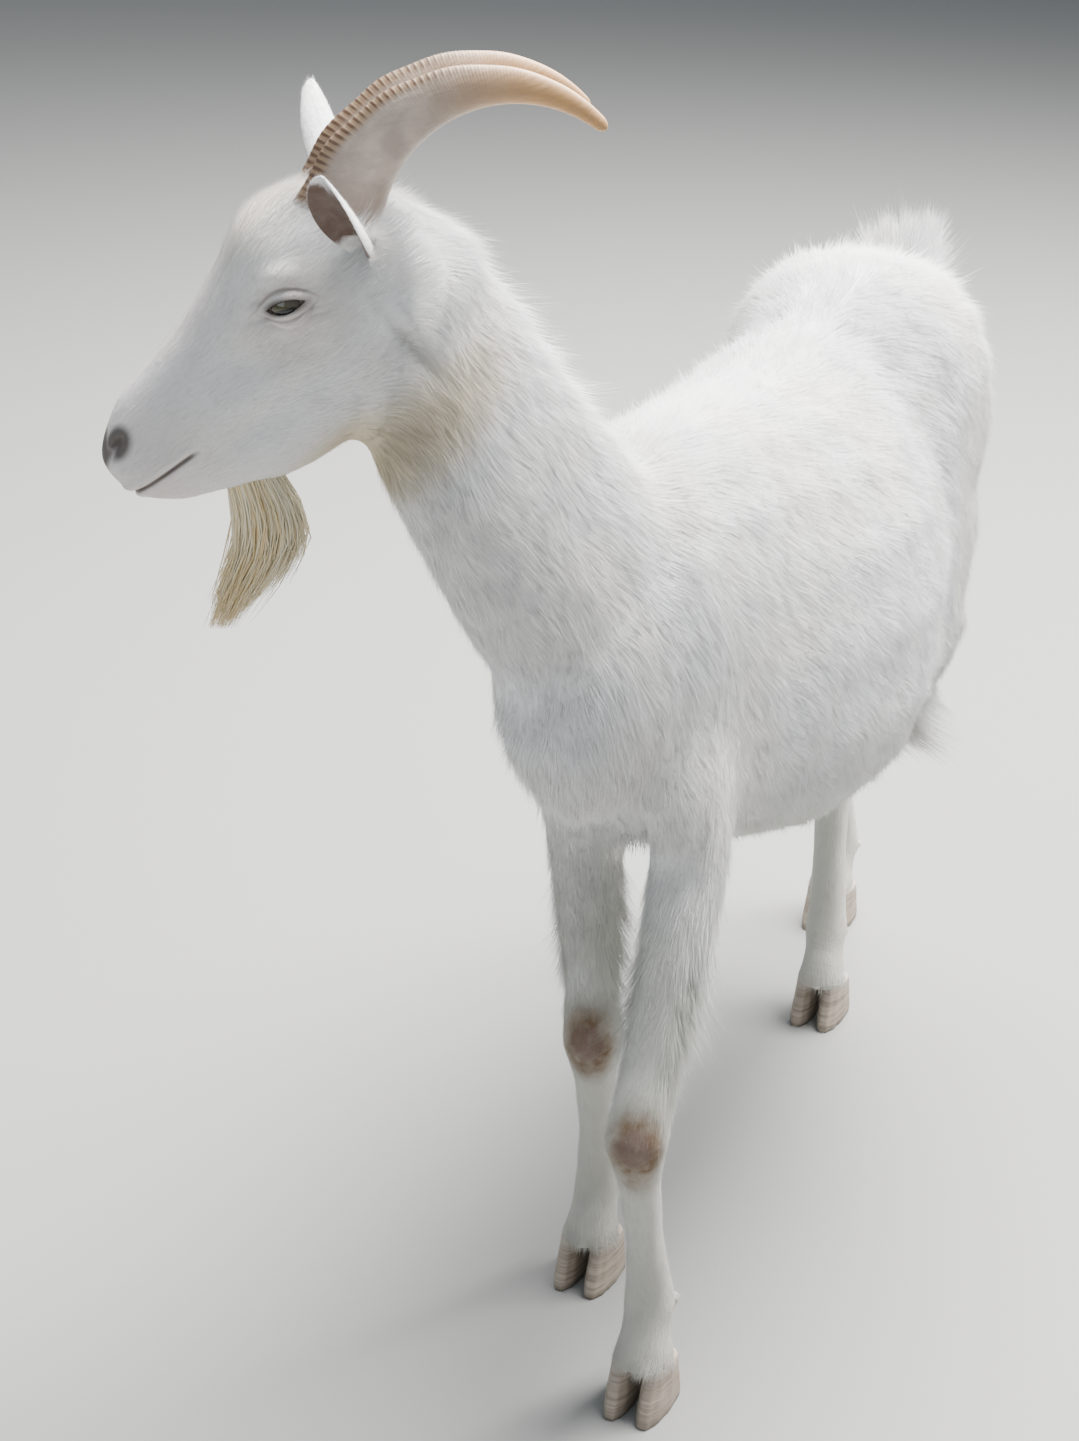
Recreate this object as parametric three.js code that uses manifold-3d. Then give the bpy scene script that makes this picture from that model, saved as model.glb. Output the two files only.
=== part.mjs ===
// A life-size standing dairy goat, in millimetres: +X runs to the animal's front, +Y to its left, +Z up.
// Every soft part is lofted through cross-sections placed on the animal's joints. The lofts are joined
// to one body, and thin cuts then part that body into head, neck, trunk, tail and legs.
import * as THREE from 'three';
import { mergeVertices } from 'three/addons/utils/BufferGeometryUtils.js';
import Module from 'manifold-3d';

const wasm = await Module();
wasm.setup();

// ---------------------------------------------------------------- driving dimensions
const GAP = 0.4;                 // width of every thin cut
const WITHERS = 738;             // height over the shoulders, coat included
const CROUP = 764;               // height over the rump
const CORONET = 42;              // top of the hooves above the ground

// The head: the point midway between the eyes, and how the head is turned.
const HEAD_AT = [438, -130, 877];
const HEAD_YAW = -58;            // degrees; negative turns the face to the animal's right
const HEAD_PITCH = 36.3;         // degrees that the nose points below level
const HEAD_ROLL = 1.5;           // degrees; positive lifts the left side

// ---------------------------------------------------------------- lofting
const FIELDS = ['x', 'y', 'z', 'side', 'up', 'down', 'taper', 'square'];

// Catmull-Rom through one number of each station.
function through(a, b, c, d, t) {
  const t2 = t * t;
  const t3 = t2 * t;
  return 0.5 * (2 * b + (c - a) * t + (2 * a - 5 * b + 4 * c - d) * t2 + (3 * b - a - 3 * c + d) * t3);
}

// A station is a cross-section: centre x, y, z, half-width to each side, and half-depths up and down.
// taper widens its top (positive) or bottom, and square above 2 makes its corners fuller.
function station(x, y, z, side, up, down, taper = 0, square = 2.2) {
  return { x, y, z, side, up, down, taper, square };
}

function refine(stations, steps) {
  const last = stations.length - 1;
  const rings = [];
  for (let i = 0; i < last; i++) {
    const four = [Math.max(i - 1, 0), i, i + 1, Math.min(i + 2, last)].map((k) => stations[k]);
    for (let s = 0; s < steps; s++) {
      const ring = {};
      for (const f of FIELDS) ring[f] = through(...four.map((q) => q[f]), s / steps);
      rings.push(ring);
    }
  }
  rings.push({ ...stations[last] });
  return rings;
}

// The outline of one ring, as points around it: a superellipse whose sides lean by taper.
function ringPoints(ring, along, upward, segments) {
  const left = new THREE.Vector3().crossVectors(upward, along).normalize();
  const up = new THREE.Vector3().crossVectors(along, left).normalize();
  const centre = new THREE.Vector3(ring.x, ring.y, ring.z);
  const points = [];
  for (let j = 0; j < segments; j++) {
    const angle = (2 * Math.PI * j) / segments;
    const c = Math.cos(angle);
    const s = Math.sin(angle);
    const across = Math.sign(c) * Math.abs(c) ** (2 / ring.square) * ring.side * (1 + ring.taper * s);
    const high = Math.sign(s) * Math.abs(s) ** (2 / ring.square) * (s > 0 ? ring.up : ring.down);
    points.push(centre.clone().addScaledVector(left, across).addScaledVector(up, high));
  }
  return points;
}

// A closed skin over rings of points, all with the same count, ending in a fan at each end.
function skinOver(rings) {
  const count = rings[0].length;
  const centre = (ring) => ring.reduce((sum, p) => sum.add(p), new THREE.Vector3()).divideScalar(count);
  const points = [...rings.flat(), centre(rings[0]), centre(rings[rings.length - 1])];
  const index = [];
  for (let i = 0; i + 1 < rings.length; i++) {
    for (let j = 0; j < count; j++) {
      const a = i * count + j;
      const b = i * count + ((j + 1) % count);
      index.push(a, b, a + count, b, b + count, a + count);
    }
  }
  const start = rings.length * count;
  for (let j = 0; j < count; j++) {
    const next = (j + 1) % count;
    index.push(start, next, j);
    index.push(start + 1, start - count + j, start - count + next);
  }
  const geometry = new THREE.BufferGeometry().setFromPoints(points);
  geometry.setIndex(index);
  return geometry;
}

// Lofts a closed body through the stations. upward is the direction that a ring's top faces.
// grow makes it fatter all round.
function loft(stations, { steps = 2, segments = 20, upward = [0, 0, 1], grow = 0 } = {}) {
  const rings = refine(stations, steps).map((ring) => (
    { ...ring, side: ring.side + grow, up: ring.up + grow, down: ring.down + grow }));
  const top = new THREE.Vector3(...upward);
  const centre = (ring) => new THREE.Vector3(ring.x, ring.y, ring.z);
  return skinOver(rings.map((ring, i) => {
    const before = rings[Math.max(i - 1, 0)];
    const after = rings[Math.min(i + 1, rings.length - 1)];
    const along = centre(after).sub(centre(before)).normalize();
    return ringPoints(ring, along, top, segments);
  }));
}

// ---------------------------------------------------------------- solids
function solid(geometry, matrix = new THREE.Matrix4()) {
  const bare = geometry.clone().applyMatrix4(matrix);
  bare.deleteAttribute('normal');
  bare.deleteAttribute('uv');
  const merged = mergeVertices(bare, 1e-3);
  return new wasm.Manifold(new wasm.Mesh({
    numProp: 3,
    vertProperties: new Float32Array(merged.attributes.position.array),
    triVerts: new Uint32Array(merged.index.array),
  }));
}

function geometryOf(made) {
  const mesh = made.getMesh();
  const geometry = new THREE.BufferGeometry();
  const points = new Float32Array(mesh.numVert * 3);
  for (let i = 0; i < mesh.numVert; i++) {
    points.set(mesh.vertProperties.subarray(i * mesh.numProp, i * mesh.numProp + 3), i * 3);
  }
  geometry.setAttribute('position', new THREE.BufferAttribute(points, 3));
  geometry.setIndex(new THREE.BufferAttribute(mesh.triVerts, 1));
  geometry.computeVertexNormals();
  return geometry;
}

// The part of space between two corners and on one side of some planes, as a cutting tool. Each plane
// is a point on it and the direction that is kept.
function region(low, high, planes = [], grow = 0) {
  const size = low.map((v, i) => high[i] - v + 2 * grow);
  const box = new THREE.BoxGeometry(...size);
  box.translate(...low.map((v, i) => (v + high[i]) / 2));
  return planes.reduce((made, [point, normal]) => {
    const n = new THREE.Vector3(...normal).normalize();
    return made.trimByPlane(n.toArray(), n.dot(new THREE.Vector3(...point)) - grow);
  }, solid(box));
}

// Takes what lies in the region from the body, and leaves a thin gap around it.
function carve(body, low, high, planes, matrix = new THREE.Matrix4()) {
  const place = (made) => made.transform(matrix.elements);
  return [
    body.intersect(place(region(low, high, planes))),
    body.subtract(place(region(low, high, planes, GAP))),
  ];
}

// Parts a body along a plane. The first piece is the one that the normal points to.
function part(body, point, normal) {
  const n = normal.clone().normalize();
  const offset = n.dot(point);
  return [
    body.trimByPlane(n.toArray(), offset + GAP / 2),
    body.trimByPlane(n.clone().negate().toArray(), GAP / 2 - offset),
  ];
}

// The largest connected piece: crumbs that a cut leaves behind are dropped.
function largest(made) {
  return made.decompose().sort((a, b) => b.volume() - a.volume())[0];
}

const union = (pieces) => pieces.reduce((a, b) => a.add(b));

// ---------------------------------------------------------------- trunk, neck and tail
function trunkSolid(grow) {
  return solid(loft([
    station(-498, 0, 656, 14, 16, 18),
    station(-488, 0, 650, 46, 56, 60),
    station(-452, 0, 630, 84, 104, 88, 0, 2.4),
    station(-390, 0, 612, 116, 148, 112, 0, 2.4),
    station(-320, 0, 592, 122, CROUP - 592, 150, 0, 2.3),
    station(-245, 0, 566, 122, 173, 196, -0.22, 2.1),
    station(-175, 0, 548, 140, 180, 214, -0.22),
    station(-90, 0, 542, 152, 176, 214, -0.22),
    station(0, 0, 545, 145, 176, 200, -0.2),
    station(80, 0, 556, 126, 174, 176, -0.16),
    station(160, 0, 576, 102, WITHERS - 576, 164, -0.1),
    station(225, 0, 580, 86, 144, 150, -0.02),
    station(278, 0, 562, 68, 108, 118),
    station(314, 0, 542, 46, 70, 80),
    station(332, 0, 534, 20, 32, 38),
  ], { segments: 18, grow }));
}

const headMatrix = new THREE.Matrix4().compose(
  new THREE.Vector3(...HEAD_AT),
  new THREE.Quaternion().setFromEuler(new THREE.Euler(
    THREE.MathUtils.degToRad(HEAD_ROLL),
    THREE.MathUtils.degToRad(HEAD_PITCH),
    THREE.MathUtils.degToRad(HEAD_YAW),
    'ZYX',
  )),
  new THREE.Vector3(1, 1, 1),
);
const onHead = (x, y, z) => new THREE.Vector3(x, y, z).applyMatrix4(headMatrix);

function neckSolid(grow) {
  return solid(loft([
    station(150, 0, 580, 60, 90, 90),
    station(212, 0, 612, 74, 98, 110),
    station(264, -10, 664, 64, 82, 106),
    station(308, -32, 734, 54, 74, 100),
    station(350, -56, 806, 48, 68, 90),
    station(384, -72, 858, 45, 64, 73),
    station(...onHead(-58, 0, -26), 43, 56, 54),
    station(...onHead(-16, 0, -24), 34, 38, 40),
  ], { segments: 16, upward: [-0.85, 0.1, 0.5], grow }));
}

// The tail stands up from the rump and curls a little forward, with its hair spread at the tip.
function tailSolid() {
  return solid(loft([
    station(-430, 0, 672, 26, 24, 24),
    station(-470, -4, 702, 32, 22, 24),
    station(-494, -11, 720, 36, 18, 20),
    station(-507, -20, 734, 36, 14, 16),
    station(-513, -27, 745, 24, 9, 11),
    station(-515, -31, 752, 7, 4, 5),
  ], { segments: 10, upward: [0.6, 0, 0.8] }));
}

// ---------------------------------------------------------------- legs
// Each leg runs through its joints, from inside the trunk down to the coronet. FORE_GIRTH and
// HIND_GIRTH give its half-sizes along it: where, counted in joints, then sideways, forward and back.
const LEGS = {
  fore_left: {
    side: 1,
    joints: [[205, 50, 560], [214, 68, 430], [314, 68, 242], [286, 72, 88], [300, 74, CORONET]],
  },
  fore_right: {
    side: -1,
    joints: [[192, -38, 560], [182, -32, 430], [190, -19, 238], [154, -27, 86], [168, -27, CORONET]],
  },
  hind_left: {
    side: 1,
    joints: [[-345, 56, 615], [-222, 92, 440], [-388, -14, 268], [-340, 4, 86], [-316, 10, CORONET]],
  },
  hind_right: {
    side: -1,
    joints: [[-355, -56, 615], [-262, -92, 436], [-502, -60, 270], [-528, -44, 86], [-506, -44, CORONET]],
  },
};
const FORE_GIRTH = [
  [0, 30, 48, 48],
  [0.5, 38, 60, 56],
  [1, 35, 40, 40],
  [1.4, 29, 31, 34],
  [1.75, 23, 23, 26],
  [2, 25, 25, 23],
  [2.25, 17, 17, 17],
  [2.6, 14.5, 15, 16],
  [2.9, 18, 18, 19],
  [3.05, 20, 20, 24],
  [3.5, 19, 20, 21],
  [4, 25, 25, 25],
  [4.3, 25, 25, 25],
];
const HIND_GIRTH = [
  [0, 44, 80, 118],
  [0.35, 52, 92, 148],
  [0.7, 50, 76, 146],
  [1, 48, 50, 146],
  [1.3, 52, 38, 122],
  [1.6, 44, 30, 98],
  [1.85, 28, 25, 70],
  [1.97, 22, 24, 56],
  [2.1, 21, 22, 36],
  [2.3, 18, 19, 20],
  [2.6, 16.5, 17, 18],
  [2.9, 19, 19, 20],
  [3.05, 21, 21, 25],
  [3.5, 19, 20, 21],
  [4, 25, 25, 25],
  [4.3, 25, 25, 25],
];

// The point at t joints along a leg; past the last joint it goes on straight.
function alongLeg(joints, t) {
  const i = Math.min(Math.floor(t), joints.length - 2);
  return joints[i].map((v, k) => v + (joints[i + 1][k] - v) * (t - i));
}

function legSolid(name, grow) {
  const girth = name.startsWith('fore') ? FORE_GIRTH : HIND_GIRTH;
  return solid(loft(girth.map(([t, side, front, back]) => (
    station(...alongLeg(LEGS[name].joints, t), side, front, back)
  )), { steps: 1, segments: 12, upward: [1, 0, 0.15], grow }));
}

// Two small horny dewclaws stand behind the fetlock, half sunk in it and leaning back.
const DEWCLAW = { size: [8, 7, 11], behind: 24, apart: 22, below: 16, lean: 0.5 };

function dewclaws(name) {
  const [x, y, z] = LEGS[name].joints[3];
  return union([1, -1].map((side) => {
    const claw = new THREE.SphereGeometry(1, 5, 4);
    claw.scale(...DEWCLAW.size);
    claw.rotateY(DEWCLAW.lean);
    claw.translate(x - DEWCLAW.behind, y + side * DEWCLAW.apart / 2, z - DEWCLAW.below);
    return solid(claw);
  }));
}

// ---------------------------------------------------------------- hooves
// The toe wall slopes back by slope on its way up to the coronet, and the heel comes forward a little.
const CLAW = { length: 56, width: 24, apart: 27, toe: 10, slope: 18, heel: 2, heelSlope: 7 };

// One claw of a hoof. Each level is a height above the ground and how far the claw swells there.
function clawSolid(name, side) {
  const [x, y] = LEGS[name].joints[4];
  const levels = [[0, 0.95], [6, 1], [CORONET, 0.86]];
  const rings = levels.map(([z, swell]) => {
    const t = z / CORONET;
    const front = x + CLAW.length / 2 + CLAW.toe - CLAW.slope * t;
    const back = x - CLAW.length / 2 - CLAW.heel + CLAW.heelSlope * t;
    const halfLength = (front - back) / 2 * swell;
    const ring = station((front + back) / 2, y + side * CLAW.apart / 2, z,
      CLAW.width / 2 * swell, halfLength, halfLength, -0.22, 2.5);
    return ringPoints(ring, new THREE.Vector3(0, 0, 1), new THREE.Vector3(1, 0, 0), 10);
  });
  return solid(skinOver(rings));
}

// ---------------------------------------------------------------- head
function headSolid(grow) {
  return solid(loft([
    station(-92, 0, -12, 16, 16, 20),
    station(-84, 0, -12, 36, 40, 42),
    station(-62, 0, -14, 47, 66, 66, 0.04),
    station(-36, 0, -16, 53, 78, 78, 0.1),
    station(-10, 0, -18, 54, 79, 80, 0.16),
    station(14, 0, -20, 49, 66, 80, 0.16),
    station(42, 0, -24, 41, 58, 72, 0.1),
    station(70, 0, -26, 35, 52, 64, 0.06),
    station(98, 0, -26, 30.5, 47, 50, 0.02),
    station(122, 0, -24, 28.5, 41, 38),
    station(138, 0, -22, 27, 33, 30),
    station(150, 0, -20, 21, 21, 20),
    station(157, 0, -20, 9, 9, 9),
  ], { segments: 18, grow }), headMatrix);
}

const EYE = { at: [-4, 41.5, 5], radius: 14.5 };

function eyeSolid(side, grow = 0) {
  const ball = new THREE.SphereGeometry(EYE.radius + grow, 12, 8);
  ball.translate(EYE.at[0], side * EYE.at[1], EYE.at[2]);
  return solid(ball, headMatrix);
}

// A horn rises from the crown and sweeps back in an arc that tightens towards its tip. Low swellings
// cross its front edge.
const HORN = {
  centre: [-134, -45],           // of the arc, behind the poll
  radius: [100, 86],             // of the arc, at the base and at the tip
  from: 36,                      // degrees of the arc
  to: 168,
  apart: [21, 38],               // half the distance between the two horns, at the base and the tip
  width: [15.5, 3],              // half-sizes across, at the base and at the tip
  front: [44, 3.5],              // from the middle to the front edge
  back: [21, 4],                 // and to the back edge
  swellings: 6,
  swell: 0.045,
};

function hornSolid(side) {
  const steps = 20;
  const rings = [];
  const mix = ([a, b], t) => a + (b - a) * t;
  for (let i = 0; i <= steps; i++) {
    const t = i / steps;
    const angle = THREE.MathUtils.degToRad(mix([HORN.from, HORN.to], t));
    const radius = mix(HORN.radius, t ** 0.7);
    const x = HORN.centre[0] + radius * Math.cos(angle);
    const z = HORN.centre[1] + radius * Math.sin(angle);
    const y = side * mix(HORN.apart, t ** 1.5);
    const thin = t ** 1.25;
    const ripple = 1 + HORN.swell * (1 - t) * Math.sin(2 * Math.PI * HORN.swellings * t);
    const front = mix(HORN.front, t ** 0.55) * ripple;
    const ring = station(x, y, z, mix(HORN.width, thin), front, mix(HORN.back, thin), -0.22, 2.1);
    const along = new THREE.Vector3(-Math.sin(angle), 0, Math.cos(angle));
    const outward = new THREE.Vector3(Math.cos(angle), 0, Math.sin(angle));
    rings.push(ringPoints(ring, along, outward, 10));
  }
  return solid(skinOver(rings), headMatrix);
}

// An ear is a leaf rolled round its length: a crescent in section, closed to a tube at its base.
const EAR = {
  length: 124,
  half: 22,                      // half the width, measured round the roll
  rim: 1.5,                      // added to that, so that the tip stays blunt
  thick: 4,
  thin: 0.35,                    // share of the thickness lost at the tip
  roll: [2.1, 0.85],             // half the angle of the roll, in radians, at the base and at the tip
  base: [-64, 38, 3],            // on the left side of the head
  left: { to: [-10, 95, 64], opens: [0.8, 0.35, -0.3] },
  right: { to: [-19, -85, 68], opens: [0.8, -0.35, -0.3] },
  steps: 8,                      // rings along it, and faces over half of one wall
  halfFaces: 6,
};

// The half-width of the leaf: narrow at the base, widest below the middle, round at the tip.
const leafWidth = (t) => (
  EAR.half * (0.58 + 0.42 * Math.sin(Math.PI * t ** 0.85)) * Math.sqrt(1 - t ** 6) + EAR.rim);

function earSolid(side) {
  const { to, opens } = side > 0 ? EAR.left : EAR.right;
  const along = new THREE.Vector3(...to).normalize();
  const open = new THREE.Vector3(...opens);
  open.addScaledVector(along, -open.dot(along)).normalize();
  const across = new THREE.Vector3().crossVectors(open, along);
  const base = new THREE.Vector3(EAR.base[0], side * EAR.base[1], EAR.base[2]);
  const rings = [];
  for (let i = 0; i <= EAR.steps; i++) {
    const t = i / EAR.steps;
    const turn = EAR.roll[0] + (EAR.roll[1] - EAR.roll[0]) * t ** 0.6;
    const radius = leafWidth(t) / turn;
    const thick = Math.min(EAR.thick * (1 - EAR.thin * t), radius * 0.6);
    const middle = base.clone().addScaledVector(along, EAR.length * t).addScaledVector(open, radius);
    const arc = (r, share) => middle.clone()
      .addScaledVector(open, -r * Math.cos(turn * share))
      .addScaledVector(across, r * Math.sin(turn * share));
    const shares = Array.from({ length: EAR.halfFaces + 1 }, (_, k) => 2 * k / EAR.halfFaces - 1);
    const outer = shares.map((share) => arc(radius, share));
    const inner = shares.map((share) => arc(radius - thick, share * 0.985)).reverse();
    rings.push([...outer, ...inner]);
  }
  return solid(skinOver(rings), headMatrix);
}

// The beard hangs straight down from the chin and curls forward at its end.
function beardSolid() {
  const root = onHead(78, 0, -72);
  const ahead = new THREE.Vector3(1, 0, 0).transformDirection(headMatrix).setZ(0).normalize();
  const hang = (forward, down, side, front, back) => {
    const at = root.clone().addScaledVector(ahead, forward).add(new THREE.Vector3(0, 0, -down));
    return station(...at, side, front, back);
  };
  return solid(loft([
    hang(-2, 0, 18, 24, 22),
    hang(-2, 24, 19, 24, 25),
    hang(-1, 46, 18, 24, 26),
    hang(3, 68, 14, 22, 21),
    hang(12, 90, 8, 14, 12),
    hang(20, 106, 2, 3, 3),
  ], { segments: 10, upward: ahead.toArray() }));
}

// ---------------------------------------------------------------- one body, parted by thin cuts
const flesh = (grow) => union([
  trunkSolid(grow),
  neckSolid(grow),
  headSolid(grow),
  ...Object.keys(LEGS).map((name) => legSolid(name, grow)),
]);
const outside = flesh(2 * GAP);
const eyes = { left: eyeSolid(1), right: eyeSolid(-1) };
const body = flesh(0).subtract(eyeSolid(1, GAP)).subtract(eyeSolid(-1, GAP));

const pieces = {};

// The neck leaves the trunk at a sloping plane in front of the withers.
const NECK_CUT = { at: new THREE.Vector3(215, 0, WITHERS), normal: new THREE.Vector3(0.862, 0, 0.507) };
const [headAndNeck, rear] = part(body, NECK_CUT.at, NECK_CUT.normal);

// In the head's own frame: a box round the skull, the plane behind the cheeks and the line of the mouth.
const SKULL = { low: [-140, -90, -116], high: [200, 90, 120], behind: [[-84, 0, 24], [0.942, 0, 0.334]] };
const MOUTH = { at: [110, 0, -42], normal: new THREE.Vector3(-0.05, 0, -1) };
const [wholeHead, neck] = carve(headAndNeck, SKULL.low, SKULL.high, [SKULL.behind], headMatrix);
const jawPlane = MOUTH.normal.transformDirection(headMatrix);
[pieces.lower_jaw, pieces.head] = part(wholeHead, onHead(...MOUTH.at), jawPlane);
pieces.neck = neck;

// Where each leg leaves the trunk, and the heights of the cuts below that.
const FORE_NAMES = ['forearm', 'cannon', 'pastern'];
const HIND_NAMES = ['thigh', 'gaskin', 'cannon', 'pastern'];
const LEG_CUTS = {
  fore_left: {
    low: [150, 6, CORONET],
    high: [440, 160, 428],
    names: FORE_NAMES,
    at: [272, 106],
  },
  fore_right: {
    low: [118, -160, CORONET],
    high: [330, 6 - GAP, 424],
    names: FORE_NAMES,
    at: [268, 104],
  },
  hind_left: {
    low: [-600, -30, CORONET],
    high: [-150, 200, 640],
    planes: [
      [[-142, 0, 420], [-0.5, 0, -0.86]],
      [[0, 12, 400], [0, 0.94, -0.34]],
      [[-460, 0, 200], [0.99, 0, 0.135]],
    ],
    names: HIND_NAMES,
    at: [372, 242, 104],
  },
  hind_right: {
    low: [-700, -200, CORONET],
    high: [-170, -17 + GAP, 640],
    planes: [[[-162, 0, 420], [-0.5, 0, -0.86]]],
    names: HIND_NAMES,
    at: [372, 244, 104],
  },
};
let trunk = rear;
for (const [name, cut] of Object.entries(LEG_CUTS)) {
  let [leg, left] = carve(trunk, cut.low, cut.high, cut.planes ?? []);
  trunk = left;
  leg = largest(leg);
  for (const [i, z] of cut.at.entries()) {
    const [above, below] = part(leg, new THREE.Vector3(0, 0, z), new THREE.Vector3(0, 0, 1));
    pieces[`${name}_${cut.names[i]}`] = above;
    leg = below;
  }
  pieces[`${name}_${cut.names.at(-1)}`] = leg.add(dewclaws(name)).trimByPlane([0, 0, 1], CORONET + GAP);
}
pieces.trunk = trunk;
pieces.tail = tailSolid().subtract(outside);
pieces.beard = beardSolid().subtract(outside);
for (const [name, side] of [['left', 1], ['right', -1]]) {
  pieces[`ear_${name}`] = earSolid(side).subtract(outside);
  pieces[`horn_${name}`] = hornSolid(side).subtract(outside);
  pieces[`eye_${name}`] = eyes[name];
}
for (const name of Object.keys(LEGS)) {
  pieces[`${name}_claw_outer`] = clawSolid(name, LEGS[name].side);
  pieces[`${name}_claw_inner`] = clawSolid(name, -LEGS[name].side);
}

// ---------------------------------------------------------------- materials and the scene graph
const COLOURS = {
  coat: { color: 0xe9e6e0, roughness: 0.85 },
  horn: { color: 0x9c8674, roughness: 0.5 },
  hoof: { color: 0x6e5f50, roughness: 0.55 },
  eye: { color: 0x9a7a45, roughness: 0.1 },
  beard: { color: 0xe8dcb8, roughness: 0.9 },
};
function colourOf(name) {
  if (name.startsWith('horn')) return COLOURS.horn;
  if (name.includes('claw')) return COLOURS.hoof;
  if (name.startsWith('eye')) return COLOURS.eye;
  return name === 'beard' ? COLOURS.beard : COLOURS.coat;
}

const goat = new THREE.Group();
for (const [name, made] of Object.entries(pieces)) {
  const material = new THREE.MeshStandardMaterial({ ...colourOf(name), metalness: 0 });
  const mesh = new THREE.Mesh(geometryOf(largest(made)), material);
  mesh.name = name;
  goat.add(mesh);
}

// The origin is the middle of the ground that the animal stands on.
const bounds = new THREE.Box3().setFromObject(goat);
goat.position.set(-(bounds.min.x + bounds.max.x) / 2, -(bounds.min.y + bounds.max.y) / 2, -bounds.min.z);

export default goat;
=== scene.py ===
# %% [markdown]
# # A white goat that stands and looks aside
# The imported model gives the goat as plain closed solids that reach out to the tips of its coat. This
# lesson puts a living surface in their place: one skin without seams that lies a coat's depth inside
# them, tens of thousands of small tufts of hair over it, and finer horns, hooves and eyes. Everything is
# in metres and in the frame of the solids, so nothing is fitted afterwards.

import math

import bmesh
import bpy
import numpy as np
from mathutils import Euler, Matrix, Vector


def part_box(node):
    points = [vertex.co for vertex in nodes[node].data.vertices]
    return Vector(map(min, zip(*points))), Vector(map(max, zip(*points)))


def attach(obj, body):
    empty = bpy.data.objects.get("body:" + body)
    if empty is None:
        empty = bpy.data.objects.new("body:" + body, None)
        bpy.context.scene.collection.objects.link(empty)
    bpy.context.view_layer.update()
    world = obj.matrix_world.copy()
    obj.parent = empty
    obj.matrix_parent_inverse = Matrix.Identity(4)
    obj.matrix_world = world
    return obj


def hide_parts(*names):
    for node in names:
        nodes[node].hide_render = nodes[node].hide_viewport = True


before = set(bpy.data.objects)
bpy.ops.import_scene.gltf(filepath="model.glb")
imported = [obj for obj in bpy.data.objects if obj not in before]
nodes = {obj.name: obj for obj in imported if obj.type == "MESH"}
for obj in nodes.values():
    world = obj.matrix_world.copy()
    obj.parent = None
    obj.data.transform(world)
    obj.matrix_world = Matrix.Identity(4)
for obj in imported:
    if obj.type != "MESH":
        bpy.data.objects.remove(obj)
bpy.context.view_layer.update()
MM = 0.001

# %% [markdown]
# ## Where things are
# Hair, folds and markings all need places on the body. The head has axes of its own, because it is
# turned aside: x along the muzzle, y to its left and z out of the forehead, with the zero midway between
# the eyes. The middles of the two eye solids fix it. The spine, the tail and the four legs are short
# lines of joints, given in the body's axes and moved by the same amount that the head was.

# %% The head's axes, and lines through the body
HEAD_TURN = (math.radians(1.5), math.radians(36.3), math.radians(-58.0))
HEAD_AT = np.array([0.438, -0.130, 0.877])
EYE_AT = np.array([-4.0, 41.5, 5.0]) * MM
EYE_RADIUS = 14.5 * MM
LEFT, RIGHT = 1, -1
SIDES = {"left": LEFT, "right": RIGHT}


def box_centre(name):
    low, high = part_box(name)
    return np.array((low + high) / 2)


head_axes = np.array(Euler(HEAD_TURN, "XYZ").to_matrix())
between_eyes = (box_centre("eye_left") + box_centre("eye_right")) / 2
head_origin = between_eyes - head_axes @ (EYE_AT * (1, 0, 1))
body_shift = head_origin - HEAD_AT


def to_head(points):
    return (points - head_origin) @ head_axes


def from_head(points):
    return head_origin + np.asarray(points) @ head_axes.T


def line(*points):
    return np.array(points, float) * MM + body_shift


def head_line(*points):
    return from_head(np.array(points, float) * MM)


# Each region is a line that the hair follows and the body's radius at its points, in millimetres.
REGIONS = {
    "head": (head_line((150, 0, -20), (80, 0, -26), (0, 0, -16), (-60, 0, -12)), (22, 45, 62, 55)),
    "neck": (line((392, -78, 872), (350, -56, 806), (308, -32, 734), (264, -10, 664), (222, 0, 600)),
             (52, 60, 70, 80, 92)),
    "trunk": (line((310, 0, 545), (150, 0, 565), (-100, 0, 545), (-320, 0, 600), (-450, 0, 630)),
              (70, 130, 175, 135, 80)),
    "tail": (line((-440, 0, 676), (-470, -4, 702), (-494, -11, 720), (-515, -31, 752)), (30, 27, 26, 18)),
    "fore_left": (line((205, 50, 560), (214, 68, 430), (314, 68, 242), (286, 72, 88), (300, 74, 30)),
                  (60, 40, 25, 20, 26)),
    "fore_right": (line((192, -38, 560), (182, -32, 430), (190, -19, 238), (154, -27, 86), (168, -27, 30)),
                   (60, 40, 25, 20, 26)),
    "hind_left": (line((-345, 56, 615), (-222, 92, 440), (-388, -14, 268), (-340, 4, 86), (-316, 10, 30)),
                  (90, 80, 26, 20, 26)),
    "hind_right": (line((-355, -56, 615), (-262, -92, 436), (-502, -60, 270), (-528, -44, 86),
                        (-506, -44, 30)), (90, 80, 26, 20, 26)),
}
NAMES = list(REGIONS)
LEGS = [name for name in NAMES if "_" in name]
print("head origin:", head_origin.round(4), "shift:", body_shift.round(4))

# %% [markdown]
# ## The camera and the light
# The camera stands in front of the goat, to its left, and looks down on it a little from a standing
# person's height. A broad soft lamp above and a little behind makes the back almost burn out, a pale
# sky fills the shadows with a cool light, and a weak lamp near the camera opens the face.

# %% Camera and lamps
CAMERA_AT = body_shift + (1.786, 0.649, 1.281)
CAMERA_LOOKS = Vector((-0.8335, -0.3746, -0.4062)).normalized()
CAMERA_ROLL = math.radians(0.58)
CAMERA_LENS = 63.7

forward = CAMERA_LOOKS
level_right = forward.cross(Vector((0, 0, 1))).normalized()
level_up = level_right.cross(forward)
camera_right = level_right * math.cos(CAMERA_ROLL) + level_up * math.sin(CAMERA_ROLL)
camera_up = camera_right.cross(forward)

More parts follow.
